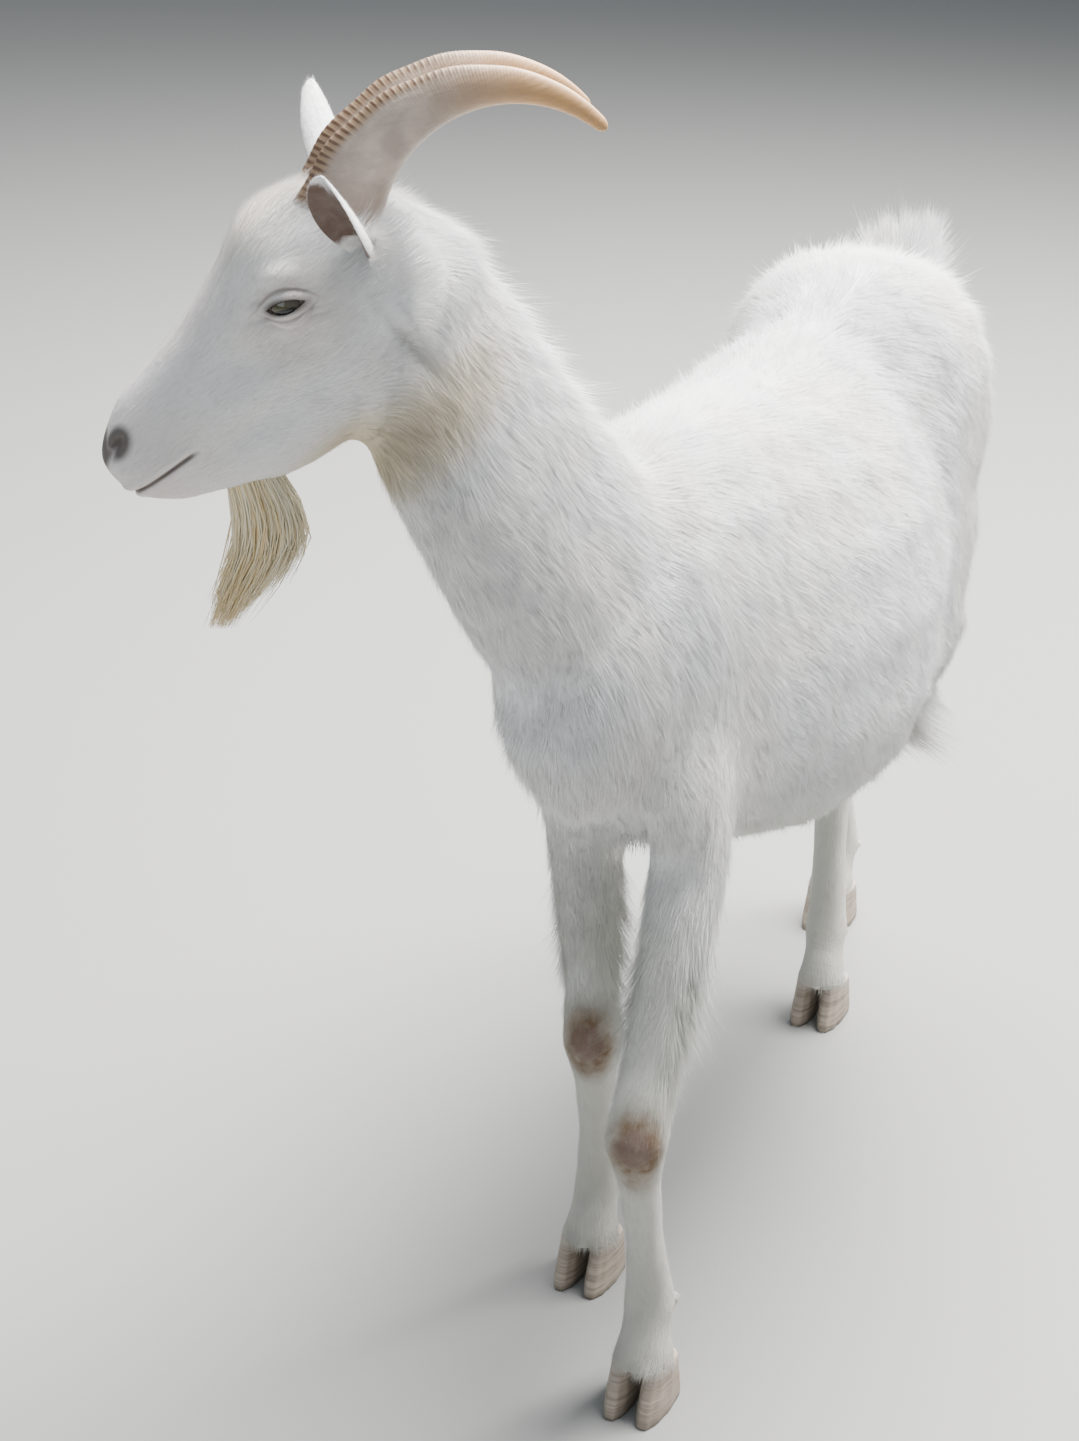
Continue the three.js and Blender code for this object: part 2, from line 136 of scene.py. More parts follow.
camera = bpy.data.objects.new("camera", bpy.data.cameras.new("camera"))
camera.data.lens = CAMERA_LENS
camera.data.sensor_width = 36.0
turn = Matrix((camera_right, camera_up, -forward)).transposed()
camera.matrix_world = Matrix.Translation(Vector(CAMERA_AT)) @ turn.to_4x4()
bpy.context.scene.collection.objects.link(camera)
bpy.context.scene.camera = camera


LAMPS = {
    "sun_behind": {"place": (-1.5, 0.45, 3.4), "aim": (0, 0, 0.6), "size": 2.8, "power": 1260,
                   "colour": (1.0, 0.985, 0.96)},
    "fill_front": {"place": (3.2, -1.2, 2.0), "aim": (0.1, 0, 0.55), "size": 2.4, "power": 26,
                   "colour": (0.80, 0.91, 1.0)},
}
SKY_COLOUR = (0.84, 0.93, 1.0, 1)
SKY_STRENGTH = 0.44


def lamp(name, place, aim, size, power, colour):
    """A square area lamp at a place, turned to shine at a point."""
    light = bpy.data.lights.new(name, "AREA")
    light.size = size
    light.energy = power
    light.color = colour
    thing = bpy.data.objects.new(name, light)
    thing.location = place
    thing.rotation_euler = (Vector(aim) - Vector(place)).to_track_quat("-Z", "Y").to_euler()
    bpy.context.scene.collection.objects.link(thing)


for name, settings in LAMPS.items():
    lamp(name, **settings)
sky = bpy.data.worlds.new("pale_sky")
sky.use_nodes = True
background = sky.node_tree.nodes["Background"]
background.inputs["Color"].default_value = SKY_COLOUR
background.inputs["Strength"].default_value = SKY_STRENGTH
bpy.context.scene.world = sky
print("camera at", CAMERA_AT.round(3))

# %% [markdown]
# ## Shader maths as Python expressions
# A material's maths is easier to read as an expression than as a web of nodes. `Sock` wraps one output
# socket and adds a Math node for each operator. `Finish` makes a material, and its `node` method adds
# any other node: settings first, then the values or links of its inputs.

# %% Sock and Finish


class Sock:
    """An output socket that can be added, multiplied and compared."""

    def __init__(self, finish, socket):
        self.finish, self.socket = finish, socket

    def maths(self, operation, *others):
        values = dict(enumerate((self,) + others))
        return self.finish.node("Math", {"operation": operation}, values)

    def __add__(self, other):
        return self.maths("ADD", other)

    def __sub__(self, other):
        return self.maths("SUBTRACT", other)

    def __rsub__(self, other):
        return self.finish.value_first("SUBTRACT", other, self)

    def __mul__(self, other):
        return self.maths("MULTIPLY", other)

    def __truediv__(self, other):
        return self.maths("DIVIDE", other)

    def __pow__(self, other):
        return self.maths("POWER", other)

    __radd__ = __add__
    __rmul__ = __mul__

    def step(self, low, high):
        """Smoothly from 0 at low to 1 at high."""
        settings = {"interpolation_type": "SMOOTHSTEP"}
        return self.finish.node("MapRange", settings, {"Value": self, "From Min": low, "From Max": high})

    def either(self, other):
        return self.maths("MAXIMUM", other)


class Finish:
    """A material with one Principled shader, built from expressions."""

    def __init__(self, name):
        self.material = bpy.data.materials.new(name)
        self.material.use_nodes = True
        self.tree = self.material.node_tree
        self.shader = self.tree.nodes["Principled BSDF"]
        self.place = self.node("TexCoord", {}, {}, "Object")

    def node(self, kind, settings, inputs, output=0):
        made = self.tree.nodes.new("ShaderNode" + kind)
        for name, value in settings.items():
            setattr(made, name, value)
        for name, value in inputs.items():
            self.feed(made.inputs[name], value)
        return Sock(self, made.outputs[output])

    def feed(self, socket, value):
        if isinstance(value, Sock):
            self.tree.links.new(value.socket, socket)
        else:
            socket.default_value = value

    def value_first(self, operation, value, sock):
        return self.node("Math", {"operation": operation}, {0: value, 1: sock})

    def mix(self, amount, first, second):
        """The first colour where amount is 0, the second where it is 1."""
        made = self.tree.nodes.new("ShaderNodeMix")
        made.data_type = "RGBA"
        self.feed(made.inputs[0], amount)
        for socket, colour in ((made.inputs[6], first), (made.inputs[7], second)):
            self.feed(socket, colour if isinstance(colour, Sock) else (*colour, 1))
        return Sock(self, made.outputs[2])

    def noise(self, vector, scale, detail=2.0, roughness=0.5):
        inputs = {"Vector": vector, "Scale": scale, "Detail": detail, "Roughness": roughness}
        return self.node("TexNoise", {}, inputs)

    def stretched(self, vector, sizes, centre=(0, 0, 0), turned=(0, 0, 0)):
        """The vector in axes at centre that are turned, and counted in sizes."""
        inputs = {"Vector": vector, "Location": centre, "Rotation": turned, "Scale": sizes}
        return self.node("Mapping", {"vector_type": "TEXTURE"}, inputs)

    def blob(self, vector, centre, sizes, soft=0.5, turned=(0, 0, 0)):
        """1 inside an ellipsoid with these half-sizes, fading to 0 over the share soft of them."""
        inside = self.stretched(vector, sizes, centre, turned)
        distance = self.node("VectorMath", {"operation": "LENGTH"}, {0: inside}, "Value")
        return 1 - distance.step(1 - soft, 1 + soft)

    def parts(self, vector):
        split = self.tree.nodes.new("ShaderNodeSeparateXYZ")
        self.feed(split.inputs[0], vector)
        return [Sock(self, output) for output in split.outputs]

    def attribute(self, name, output="Fac"):
        return self.node("Attribute", {"attribute_name": name}, {}, output)

    def bump(self, height, strength, distance):
        inputs = {"Height": height, "Strength": strength, "Distance": distance}
        return self.node("Bump", {}, inputs)

    def set(self, **values):
        for name, value in values.items():
            socket = self.shader.inputs[name.replace("_", " ")]
            self.feed(socket, (*value, 1) if isinstance(value, tuple) and len(value) == 3 else value)


# %% [markdown]
# ## The markings and the painted shade, shared by skin and coat
# A white goat is not one white. Its muzzle and the skin round its eyes are pink under thin hair, the
# crown and the throat are creamy, its knees carry brown pads with a bare mauve middle, and the nose is a
# grey-brown patch. Its lower legs are darker towards the ground, partly with dust and partly with painted
# shade, and painted shade darkens the underside of the barrel, the folds round the eyes, the slit between
# the lips and the groove behind the jaw. Skin and tufts take their colour from the same function of place,
# so the tufts never show a mark that the skin lacks. A soft spot on the head is given as its strength, its
# middle and its half-sizes in millimetres, and how softly it ends.

# %% Colours of the coat
WHITE = (0.83, 0.815, 0.80)
COOL_WHITE = (0.785, 0.79, 0.805)
CREAM = (0.78, 0.66, 0.44)
PINK = (0.72, 0.56, 0.50)
NOSE = (0.085, 0.070, 0.062)
MOUTH_SLIT_SHADE = (0.12, 0.085, 0.07)
LID = (0.075, 0.060, 0.055)
STREAK = (0.36, 0.355, 0.35)
FOLD_SHADE = (0.22, 0.17, 0.15)
KNEE = (0.125, 0.070, 0.028)
KNEE_BARE = (0.16, 0.105, 0.085)
STAIN = (0.42, 0.36, 0.255)
# Dust and painted shade on the lower legs, and painted shade in the groove behind the jaw.
DUST_AND_SHADE = (0.44, 0.42, 0.37)
# Painted shade for the underside of the barrel.
BELLY_SHADE = (0.45, 0.45, 0.39)
# Brown skin inside the ears, darkened further as painted shade in their hollows.
EAR_SKIN_AND_SHADE = (0.080, 0.036, 0.018)

FLANK_TURN = (0.0, math.radians(-49.0), 0.0)
LOCK_SIZES = (0.050, 0.0042, 0.0042)
FACE_HAIR_SIZES = (9.0, 1.5, 1.5)
KNEE_SIZES = (0.022, 0.026, 0.038)
KNEE_BARE_SIZES = (0.015, 0.015, 0.016)
KNEE_BARE_AT = (0.004, 0, 0.004)

FACE_SPOT = (1.0, (25, 0, -10), (125, 95, 95), 0.25)
CREAM_SPOTS = [(0.30, (-18, 0, 66), (44, 40, 30), 0.6),
               (0.95, (2, 0, -108), (70, 46, 34), 0.6)]
PINK_SPOTS = [(0.34, (150, 0, -18), (66, 60, 60), 0.6),
              (0.30, (60, 0, 30), (80, 26, 26), 0.7),
              (0.30, (6, 50, 0), (36, 20, 26), 0.7),
              (0.30, (6, -50, 0), (36, 20, 26), 0.7)]
THROAT_SPOT = (0.65, (2, 0, -112), (60, 46, 30), 0.6)
NOSE_SPOTS = [(0.92, (152, 0, -4), (20, 16, 13), 0.22),
              (0.92, (140, 21, -2), (13, 10, 11), 0.30),
              (0.92, (140, -21, -2), (13, 10, 11), 0.30)]
JAW_GROOVE_SHADE = [(0.50, (-47, 44, -74), (4.5, 26, 26), 0.7),
             (0.50, (-47, -44, -74), (4.5, 26, 26), 0.7)]
MOUTH_RUNS = (97, 108)


def mouth_line(x):
    """The height of the mouth's line on the head, in mm, for numbers and for sockets."""
    return x * 0.012 - 37.5


head_turn_mm = {"centre": tuple(head_origin), "turned": HEAD_TURN, "sizes": (MM, MM, MM)}
KNEES = {"fore_left": line((332, 75, 243))[0], "fore_right": line((212, -14, 243))[0]}
EYE_OUT = np.array([0.18, 0.95, 0.24])
EYE_SLIT = np.array([0.93, 0.0, 0.37])


def eye_frame(side):
    """The eye's centre and its axes in the head's frame, in metres: out, along the slit, and up."""
    out = EYE_OUT * (1, side, 1)
    out /= np.linalg.norm(out)
    slit = EYE_SLIT - (EYE_SLIT @ out) * out
    slit /= np.linalg.norm(slit)
    up = np.cross(out, slit) * -side
    return EYE_AT * (1, side, 1), out, slit, up


def strongest(finish, head, spots):
    """The strongest of some soft spots at each place of the head."""
    total = None
    for strength, centre, sizes, soft in spots:
        spot = finish.blob(head, centre, sizes, soft) * strength
        total = total.either(spot) if total else spot
    return total


def knee_marks(finish, colour):
    """Ragged brown pads on the knees of the forelegs, with bare skin in the middle."""
    grain = finish.noise(finish.place, 160.0, 2.0).step(0.30, 0.62)
    ragged = finish.noise(finish.place, 48.0, 3.0).step(0.32, 0.60)
    for centre in KNEES.values():
        around = finish.blob(finish.place, tuple(centre), KNEE_SIZES, 0.5)
        bare = finish.blob(finish.place, tuple(centre + KNEE_BARE_AT), KNEE_BARE_SIZES, 0.4)
        colour = finish.mix(around * (0.58 + ragged * 0.30 + grain * 0.12), colour, KNEE)
        colour = finish.mix(bare * (0.70 + grain * 0.15), colour, KNEE_BARE)
    return colour


def eye_marks(finish, head, colour, side):
    """Dark rims of the lids, and painted shade in the folds along w + 0.022 u² = 10 above and w - 0.020 u² =
    -8.6 below.
    """
    at, out, slit, up = eye_frame(side)
    at = tuple(at / MM)
    turned = tuple(Matrix((slit, out, up)).transposed().to_euler("XYZ"))
    around = finish.blob(head, at, (21.0, 30.0, 12.0), 0.35, turned)
    colour = finish.mix(around * 0.20, colour, LID)
    u, _, w = finish.parts(finish.stretched(head, (1, 1, 1), at, turned))
    # Painted shade along the folds above and below the eye.
    arch = (w + u * u * 0.022 - 10.0).maths("ABSOLUTE")
    bag = (w - u * u * 0.020 + 8.6).maths("ABSOLUTE")
    folds = (1 - arch.step(0.2, 2.0)).either((1 - bag.step(0.2, 1.6)) * 0.7)
    near = finish.blob(head, at, (19.0, 40.0, 19.0), 0.25, turned)
    colour = finish.mix(folds * near * 0.60, colour, FOLD_SHADE)
    ring = finish.blob(head, at, (15.2, 30.0, 6.4), 0.20, turned)
    return finish.mix(ring * 0.85, colour, LID)


def coat_colour(finish):
    """The colour of skin and hair at each place of the body, with painted shade under the barrel, on the
    lower legs and in the folds and creases of the face.
    """
    head = finish.stretched(finish.place, **head_turn_mm)
    x, _, z = finish.parts(head)
    height = finish.parts(finish.place)[2]
    patchy = finish.noise(finish.place, 9.0, 3.0)
    colour = finish.mix(patchy.step(0.38, 0.66), WHITE, COOL_WHITE)
    locks = finish.noise(finish.stretched(finish.place, LOCK_SIZES, (0, 0, 0), FLANK_TURN), 1.0, 3.0)
    fine = finish.noise(finish.stretched(head, FACE_HAIR_SIZES), 1.0, 3.0)
    on_face = strongest(finish, head, [FACE_SPOT])
    streaks = locks.step(0.50, 0.68) * (1 - on_face) * 0.34 + fine.step(0.45, 0.75) * on_face * 0.22
    colour = finish.mix(streaks, colour, STREAK)
    colour = finish.mix(strongest(finish, head, CREAM_SPOTS), colour, CREAM)
    colour = finish.mix(strongest(finish, head, PINK_SPOTS), colour, PINK)
    # Painted shade under the barrel, left out over the white tuft at the stifle.
    tuft_middle = STIFLE[0] + STIFLE_WAY * 0.03
    white_tuft = finish.blob(finish.place, tuple(tuft_middle), (0.06, 0.05, 0.05), 0.5)
    under = (1 - height.step(0.33, 0.50)) * (1 - white_tuft)
    colour = finish.mix(under * 0.72, colour, BELLY_SHADE)
    # Lower legs darker towards the ground: partly dust, partly painted shade.
    low = 1 - height.step(0.05, 0.34)
    colour = finish.mix(low * (0.50 + patchy * 0.35), colour, DUST_AND_SHADE)
    colour = finish.mix(strongest(finish, head, [THROAT_SPOT]), colour, STAIN)
    colour = knee_marks(finish, colour)
    colour = finish.mix(strongest(finish, head, NOSE_SPOTS), colour, NOSE)
    # Painted shade: a dark line along the slit between the lips.
    from_mouth = (z - mouth_line(x)).maths("ABSOLUTE")
    lips = (1 - from_mouth.step(0.5, 2.3)) * x.step(*MOUTH_RUNS)
    colour = finish.mix(lips * 0.78, colour, MOUTH_SLIT_SHADE)
    # Painted shade in the groove behind the jaw.
    colour = finish.mix(strongest(finish, head, JAW_GROOVE_SHADE), colour, DUST_AND_SHADE)
    for side in SIDES.values():
        colour = eye_marks(finish, head, colour, side)
    return colour


# %% [markdown]
# ## Helpers for meshes
# Every new piece is a surface worked out with numpy. `shell` closes a grid of rings to a solid tube with
# a point at each end, and `triangle_mesh` puts arrays into a mesh in one go. The first mesh is the floor.

# %% Arrays to meshes


def smooth_step(value, low, high):
    """From 0 at low to 1 at high, as 3t² - 2t³."""
    t = np.clip((value - low) / (high - low), 0, 1)
    return t * t * (3 - 2 * t)


def hump(value, middle, width):
    """A bell of height 1: exp(-((value - middle) / width)²)."""
    return np.exp(-(((value - middle) / width) ** 2))


def unit(vectors):
    return vectors / np.maximum(np.linalg.norm(vectors, axis=-1, keepdims=True), 1e-12)


def wobble(points, size, seed):
    """Smooth noise about 0: eight sine waves across the points, about size long, in seeded directions."""
    random = np.random.default_rng(seed)
    waves = unit(random.normal(size=(8, 3))) * random.uniform(0.7, 1.5, (8, 1)) * 2 * math.pi / size
    starts = random.uniform(0, 2 * math.pi, 8)
    return np.sin(points @ waves.T + starts).sum(1) / 2.0


def triangle_mesh(name, points, triangles):
    mesh = bpy.data.meshes.new(name)
    mesh.vertices.add(len(points))
    mesh.vertices.foreach_set("co", np.asarray(points, np.float32).ravel())
    mesh.loops.add(triangles.size)
    mesh.loops.foreach_set("vertex_index", triangles.astype(np.int32).ravel())
    mesh.polygons.add(len(triangles))
    mesh.polygons.foreach_set("loop_start", np.arange(0, triangles.size, 3, dtype=np.int32))
    mesh.update(calc_edges=True)
    mesh.shade_smooth()
    return mesh


def ring_triangles(rows, columns):
    """The triangles of a tube of rings, counted so that they face out when a ring runs anticlockwise."""
    row, column = np.meshgrid(np.arange(rows - 1), np.arange(columns), indexing="ij")
    a = row * columns + column
    b = row * columns + (column + 1) % columns
    faces = np.stack([a, b, b + columns, a, b + columns, a + columns], -1)
    return faces.reshape(-1, 3)


def shell(rings):
    """A closed surface over rings of points (rows, columns, 3), ending in a fan at each end."""
    rows, columns = rings.shape[:2]
    points = np.concatenate([rings.reshape(-1, 3), rings[:1].mean(1), rings[-1:].mean(1)])
    here = np.arange(columns)
    after = (here + 1) % columns
    first, last = rows * columns, rows * columns + 1
    bottom = np.stack([after, here, np.full(columns, first)], 1)
    top = np.stack([here + first - columns, after + first - columns, np.full(columns, last)], 1)
    return points, np.concatenate([ring_triangles(rows, columns), bottom, top])


def outwards(points, triangles):
    """The same triangles, turned round if they enclose a negative volume."""
    a, b, c = (points[triangles[:, k]] for k in range(3))
    volume = (a * np.cross(b, c)).sum()
    return triangles if volume > 0 else triangles[:, ::-1]


def point_normals(points, triangles):
    """Each point's normal: the sum of the cross products of the triangles that meet there."""
    a, b, c = (points[triangles[:, k]] for k in range(3))
    cross = np.cross(b - a, c - a)
    total = np.zeros_like(points)
    for corner in range(3):
        for axis in range(3):
            total[:, axis] += np.bincount(triangles[:, corner], cross[:, axis], len(points))
    return unit(total)


def piece(name, mesh, finish, replaced=()):
    """Shows a mesh as a piece of the goat with its finish, riding on the one body."""
    thing = bpy.data.objects.new(name, mesh)
    bpy.context.scene.collection.objects.link(thing)
    mesh.materials.clear()
    mesh.materials.append(finish.material)
    mesh.polygons.foreach_set("material_index", np.zeros(len(mesh.polygons), np.int32))
    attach(thing, "root")
    if replaced:
        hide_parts(*replaced)
    mesh.calc_loop_triangles()
    print(f"{name}: {len(mesh.loop_triangles)} triangles")
    return thing


FLOOR_HALF = 60.0
FLOOR_GREY = (0.25, 0.25, 0.245)
corners = np.array([[-1, -1, 0], [1, -1, 0], [1, 1, 0], [-1, 1, 0]]) * FLOOR_HALF
floor_mesh = triangle_mesh("floor", corners, np.array([[0, 1, 2], [0, 2, 3]]))
floor = bpy.data.objects.new("floor", floor_mesh)
bpy.context.scene.collection.objects.link(floor)
floor_finish = Finish("pale_floor")
floor_finish.set(Base_Color=FLOOR_GREY, Roughness=0.9)
floor_mesh.materials.append(floor_finish.material)

# %% [markdown]
# ## How the coat lies
# Hair grows backwards over the face, down the neck, back and down over the barrel, down each leg and
# out along the tail. It is shortest on the face and feet and longest on the crest of the neck, the
# chest, the rump and the tail, with fringes behind the forearms, before the tail and at the stifle, the
# fold in front of the left thigh. `coat_at` works these out for any points near the body: for each region
# it finds the nearest place on the region's line, and blends the regions by how near they are.

# %% The lie and length of the hair
def along_line(points, places, radii):
    """For each point: its distance from the line in radii, its place from 0 to 1, and the line's way."""
    best = np.full(len(points), np.inf)
    where = np.zeros(len(points))
    direction = np.zeros((len(points), 3))
    lengths = np.linalg.norm(np.diff(places, axis=0), axis=1)
    starts = np.concatenate([[0], np.cumsum(lengths)])
    for i, length in enumerate(lengths):
        step = (places[i + 1] - places[i]) / length
        t = np.clip((points - places[i]) @ step, 0, length)
        distance = np.linalg.norm(points - places[i] - t[:, None] * step, axis=1)
        radius = radii[i] + (radii[i + 1] - radii[i]) * t / length
        ratio = distance / (radius * MM)
        nearer = ratio < best
        best = np.where(nearer, ratio, best)
        where = np.where(nearer, (starts[i] + t) / starts[-1], where)
        direction = np.where(nearer[:, None], step, direction)
    return best, where, direction


def distance_to(points, ends):
    """Distance from the straight piece between two ends."""
    way = ends[1] - ends[0]
    t = np.clip((points - ends[0]) @ way / (way @ way), 0, 1)
    return np.linalg.norm(points - ends[0] - t[:, None] * way, axis=1)


FLANK_LIE = np.array([-0.65, 0.0, -0.76])
CHEST_LIE = np.array([-0.25, 0.0, -0.97])
THIGH_LIE = np.array([-0.45, 0.0, -0.90])
CHEST_FROM = (0.16, 0.27)
BLEND = 7.0
STIFLE = line((-312, 98, 338), (-240, 82, 332))
STIFLE_WAY = np.array([-0.25, 0.90, -0.36])
STIFLE_FLAT = np.array([1.0, 0.25, 1.0])
CROUP = line((-440, 0, 705))[0]
EAR_ROOT = np.array([-62.0, 46.0, 10.0])


def crest_of_neck(normals):
    """1 where the surface faces up and back, as it does on the crest."""
    return np.clip(normals[:, 0] * -0.75 + normals[:, 2] * 0.65, 0, 1)


def hair_ways(points, normals, found, place, head):
    """The direction of the hair in each region, before the regions are blended."""
    x, y, z = head.T
    own_x = (points - body_shift)[:, 0]
    chest = smooth_step(own_x, *CHEST_FROM)[:, None]
    crest = crest_of_neck(normals)
    ways = {name: f[2].copy() for name, f in zip(NAMES, found)}
    ways["trunk"] = FLANK_LIE * (1 - chest) + CHEST_LIE * chest
    ways["neck"] = ways["neck"] + crest[:, None] * (-0.35, 0, 0)
    rise = 0.35 * hump(z, 40, 30) * hump(x, -30, 40) - 0.30 * smooth_step(-z, -10, 60)
    ways["head"] = np.stack([np.full(len(x), -1.0), np.sign(y) * 0.10, rise], 1) @ head_axes.T
    for name in ("hind_left", "hind_right"):
        high = (1 - smooth_step(place[name], 0.30, 0.52))[:, None]
        ways[name] = THIGH_LIE * high + ways[name] * (1 - high)
    return ways


def hair_length(points, normals, share, place, head, own):
    """The length of the hair in mm, blended from the lengths in each region."""
    x, y, z = head.T
    chest = smooth_step(own[:, 0], *CHEST_FROM)
    behind = np.clip(-normals[:, 0], 0, 1)
    length = {
        "head": 4.0 + 4.5 * smooth_step(-x, -120, -10) + 9.0 * hump(z, 62, 26) * hump(x, -40, 36)
        + 9.0 * smooth_step(-x, 30, 80) + 5 * smooth_step(-z, 70, 100) * smooth_step(-x, -60, 10),
        "neck": 23.0 + 10.0 * crest_of_neck(normals),
        "trunk": 25.0 + 6.0 * chest + 8.0 * smooth_step(-own[:, 0], 0.20, 0.42)
        + 3.0 * np.clip(normals[:, 2], 0, 1),
        "tail": 27.0 + 8.0 * smooth_step(place["tail"], 0.3, 1.0),
    }
    for name in LEGS:
        upper = 1 - smooth_step(place[name], 0.30, 0.62)
        fringe = 9.0 * behind * (1 - smooth_step(place[name], 0.50, 0.66))
        length[name] = 7.0 + 15.0 * upper + fringe
    total = sum(share[name] * length[name] for name in NAMES)
    bare = sum(hump(np.linalg.norm(points - knee, axis=1), 0, 0.020) for knee in KNEES.values())
    total *= 1 - 0.55 * np.clip(bare, 0, 1)
    return total + 4.0 * hump(points[:, 2], 0.048, 0.010)


def coat_at(points, normals):
    """Lie, length (m), lift, region weights and place along the region's line, for points on the body."""
    found = [along_line(points, *REGIONS[name]) for name in NAMES]
    ratios = np.stack([f[0] for f in found], 1)
    weights = np.exp(-BLEND * (ratios - ratios.min(1, keepdims=True)))
    weights /= weights.sum(1, keepdims=True)
    share = dict(zip(NAMES, weights.T))
    place = dict(zip(NAMES, (f[1] for f in found)))
    head = to_head(points) / MM
    own = points - body_shift
    ways = hair_ways(points, normals, found, place, head)
    lie = sum(share[name][:, None] * unit(ways[name]) for name in NAMES)
    lie -= (lie * normals).sum(1, keepdims=True) * normals
    lie = unit(lie)
    total = hair_length(points, normals, share, place, head, own)
    lift = 0.30 + 0.45 * crest_of_neck(normals) * share["neck"] + 0.20 * np.clip(normals[:, 2], 0, 1)

    stifle = hump(distance_to(points * STIFLE_FLAT, STIFLE * STIFLE_FLAT), 0, 0.027)
    stifle *= smooth_step(own[:, 1], 0.035, 0.065)
    swing = np.clip(stifle * 1.5, 0, 1)[:, None]
    lie = unit(lie * (1 - swing) + STIFLE_WAY * swing)
    tip = (share["tail"] * smooth_step(place["tail"], 0.35, 0.9))[:, None]
    lie = unit(lie * (1 - tip) + unit(normals * 0.45 + unit(ways["tail"]) + (0, 0.22, 0)) * tip)
    croup = hump(np.linalg.norm(points - CROUP, axis=1), 0, 0.050)
    forearm = (share["fore_left"] + share["fore_right"]) * hump(points[:, 2], 0.335, 0.055)
    forearm = forearm * np.clip(np.abs(normals[:, 1]) * 0.85 - normals[:, 0] * 0.5, 0, 1)
    folded = np.stack([head[:, 0], np.abs(head[:, 1]), head[:, 2]], 1)
    at_ear = hump(np.linalg.norm(folded - EAR_ROOT, axis=1), 0, 20)
    for where, longer, higher in ((stifle, 42.0, 0.25), (croup, 14.0, 0.95), (forearm, 17.0, 0.75),
                                  (at_ear, 9.0, 0.35)):
        total += longer * where
        lift = lift + higher * where
    return {"lie": lie, "length": total * MM, "lift": lift, "weights": weights, "share": share,
            "place": place, "stifle": stifle, "head": head, "own": own}


# %% [markdown]
# ## One skin
# The soft solids are thin slices of one animal, so the skin starts from copies of them, swollen by half
# a millimetre so that they meet, and a voxel remesh makes one closed surface of them all. Smoothing
# rounds off their facets without thinning the legs: each step of shrinking is followed by one of
# swelling. The barrel and the neck get more of it, and the outer sides of the shoulders get plain
# smoothing, where the forelegs grow out of the chest. Then every point moves inwards by the depth of the
# coat there, the end of the tail is drawn back and the side of the left thigh is drawn in, as their long
# hair fills the room. The head is divided finer, because its folds are small.

# %% Helpers for the skin
VOXEL = 4.6 * MM
BRIDGE = 0.5 * MM
FLESH = ["head", "lower_jaw", "neck", "trunk", "tail"]
FLESH += [name for name in nodes if name.startswith(("fore_", "hind_")) and "claw" not in name]


def merged_copy(name, swell):
    """Points and faces of a solid's copy, with doubles merged, moved out along their normals."""
    cut = bmesh.new()
    cut.from_mesh(nodes[name].data)
    bmesh.ops.remove_doubles(cut, verts=cut.verts, dist=1e-5)
    bmesh.ops.triangulate(cut, faces=cut.faces)
    mesh = bpy.data.meshes.new(name + "_copy")
    cut.to_mesh(mesh)
    cut.free()
    points, triangles = mesh_arrays(mesh)
    bpy.data.meshes.remove(mesh)
    return points + point_normals(points, triangles) * swell, triangles


def mesh_arrays(mesh):
    points = np.zeros(len(mesh.vertices) * 3, np.float32)
    mesh.vertices.foreach_get("co", points)
    mesh.calc_loop_triangles()
    triangles = np.zeros(len(mesh.loop_triangles) * 3, np.int32)
    mesh.loop_triangles.foreach_get("vertices", triangles)
    return points.reshape(-1, 3).astype(float), triangles.reshape(-1, 3)


def mesh_edges(mesh):
    edges = np.zeros(len(mesh.edges) * 2, np.int32)
    mesh.edges.foreach_get("vertices", edges)
    return edges.reshape(-1, 2)


def joined(pairs):
    """Several (points, triangles) as one."""
    starts = np.cumsum([0] + [len(points) for points, _ in pairs])
    return (np.concatenate([points for points, _ in pairs]),
            np.concatenate([triangles + start for (_, triangles), start in zip(pairs, starts)]))


def with_modifier(mesh, kind, **settings):
    """The mesh with one modifier applied."""
    thing = bpy.data.objects.new("work", mesh)
    bpy.context.scene.collection.objects.link(thing)
    modifier = thing.modifiers.new("work", kind)
    for name, value in settings.items():
        setattr(modifier, name, value)
    graph = bpy.context.evaluated_depsgraph_get()
    made = bpy.data.meshes.new_from_object(thing.evaluated_get(graph))
    bpy.data.objects.remove(thing)
    return made


SHRINK_AND_SWELL = (0.55, -0.57)


def smoothed(points, edges, rounds, weight=1.0, steps=SHRINK_AND_SWELL):
    """Each round moves points a share of the way to their neighbours' mean, by the two steps in turn."""
    a, b = edges.T
    count = np.maximum(np.bincount(edges.ravel(), minlength=len(points)), 1)
    weight = np.broadcast_to(np.asarray(weight, float), (len(points),))[:, None]
    for i in range(rounds):
        total = np.stack([np.bincount(a, points[b, k], len(points))
                          + np.bincount(b, points[a, k], len(points)) for k in range(3)], 1)
        points = points + steps[i % 2] * weight * (total / count[:, None] - points)
    return points


def refined(mesh, wanted):
    """The mesh with every face cut in four where wanted(points) is true."""
    cut = bmesh.new()
    cut.from_mesh(mesh)
    inside = wanted(mesh_arrays(mesh)[0])
    edges = [e for e in cut.edges if inside[e.verts[0].index] and inside[e.verts[1].index]]
    bmesh.ops.subdivide_edges(cut, edges=edges, cuts=1, use_grid_fill=True)
    cut.to_mesh(mesh)
    cut.free()
    points, _ = mesh_arrays(mesh)
    near = wanted(points)
    points = smoothed(points, mesh_edges(mesh), 4, near * 1.0)
    mesh.vertices.foreach_set("co", points.astype(np.float32).ravel())
    return mesh


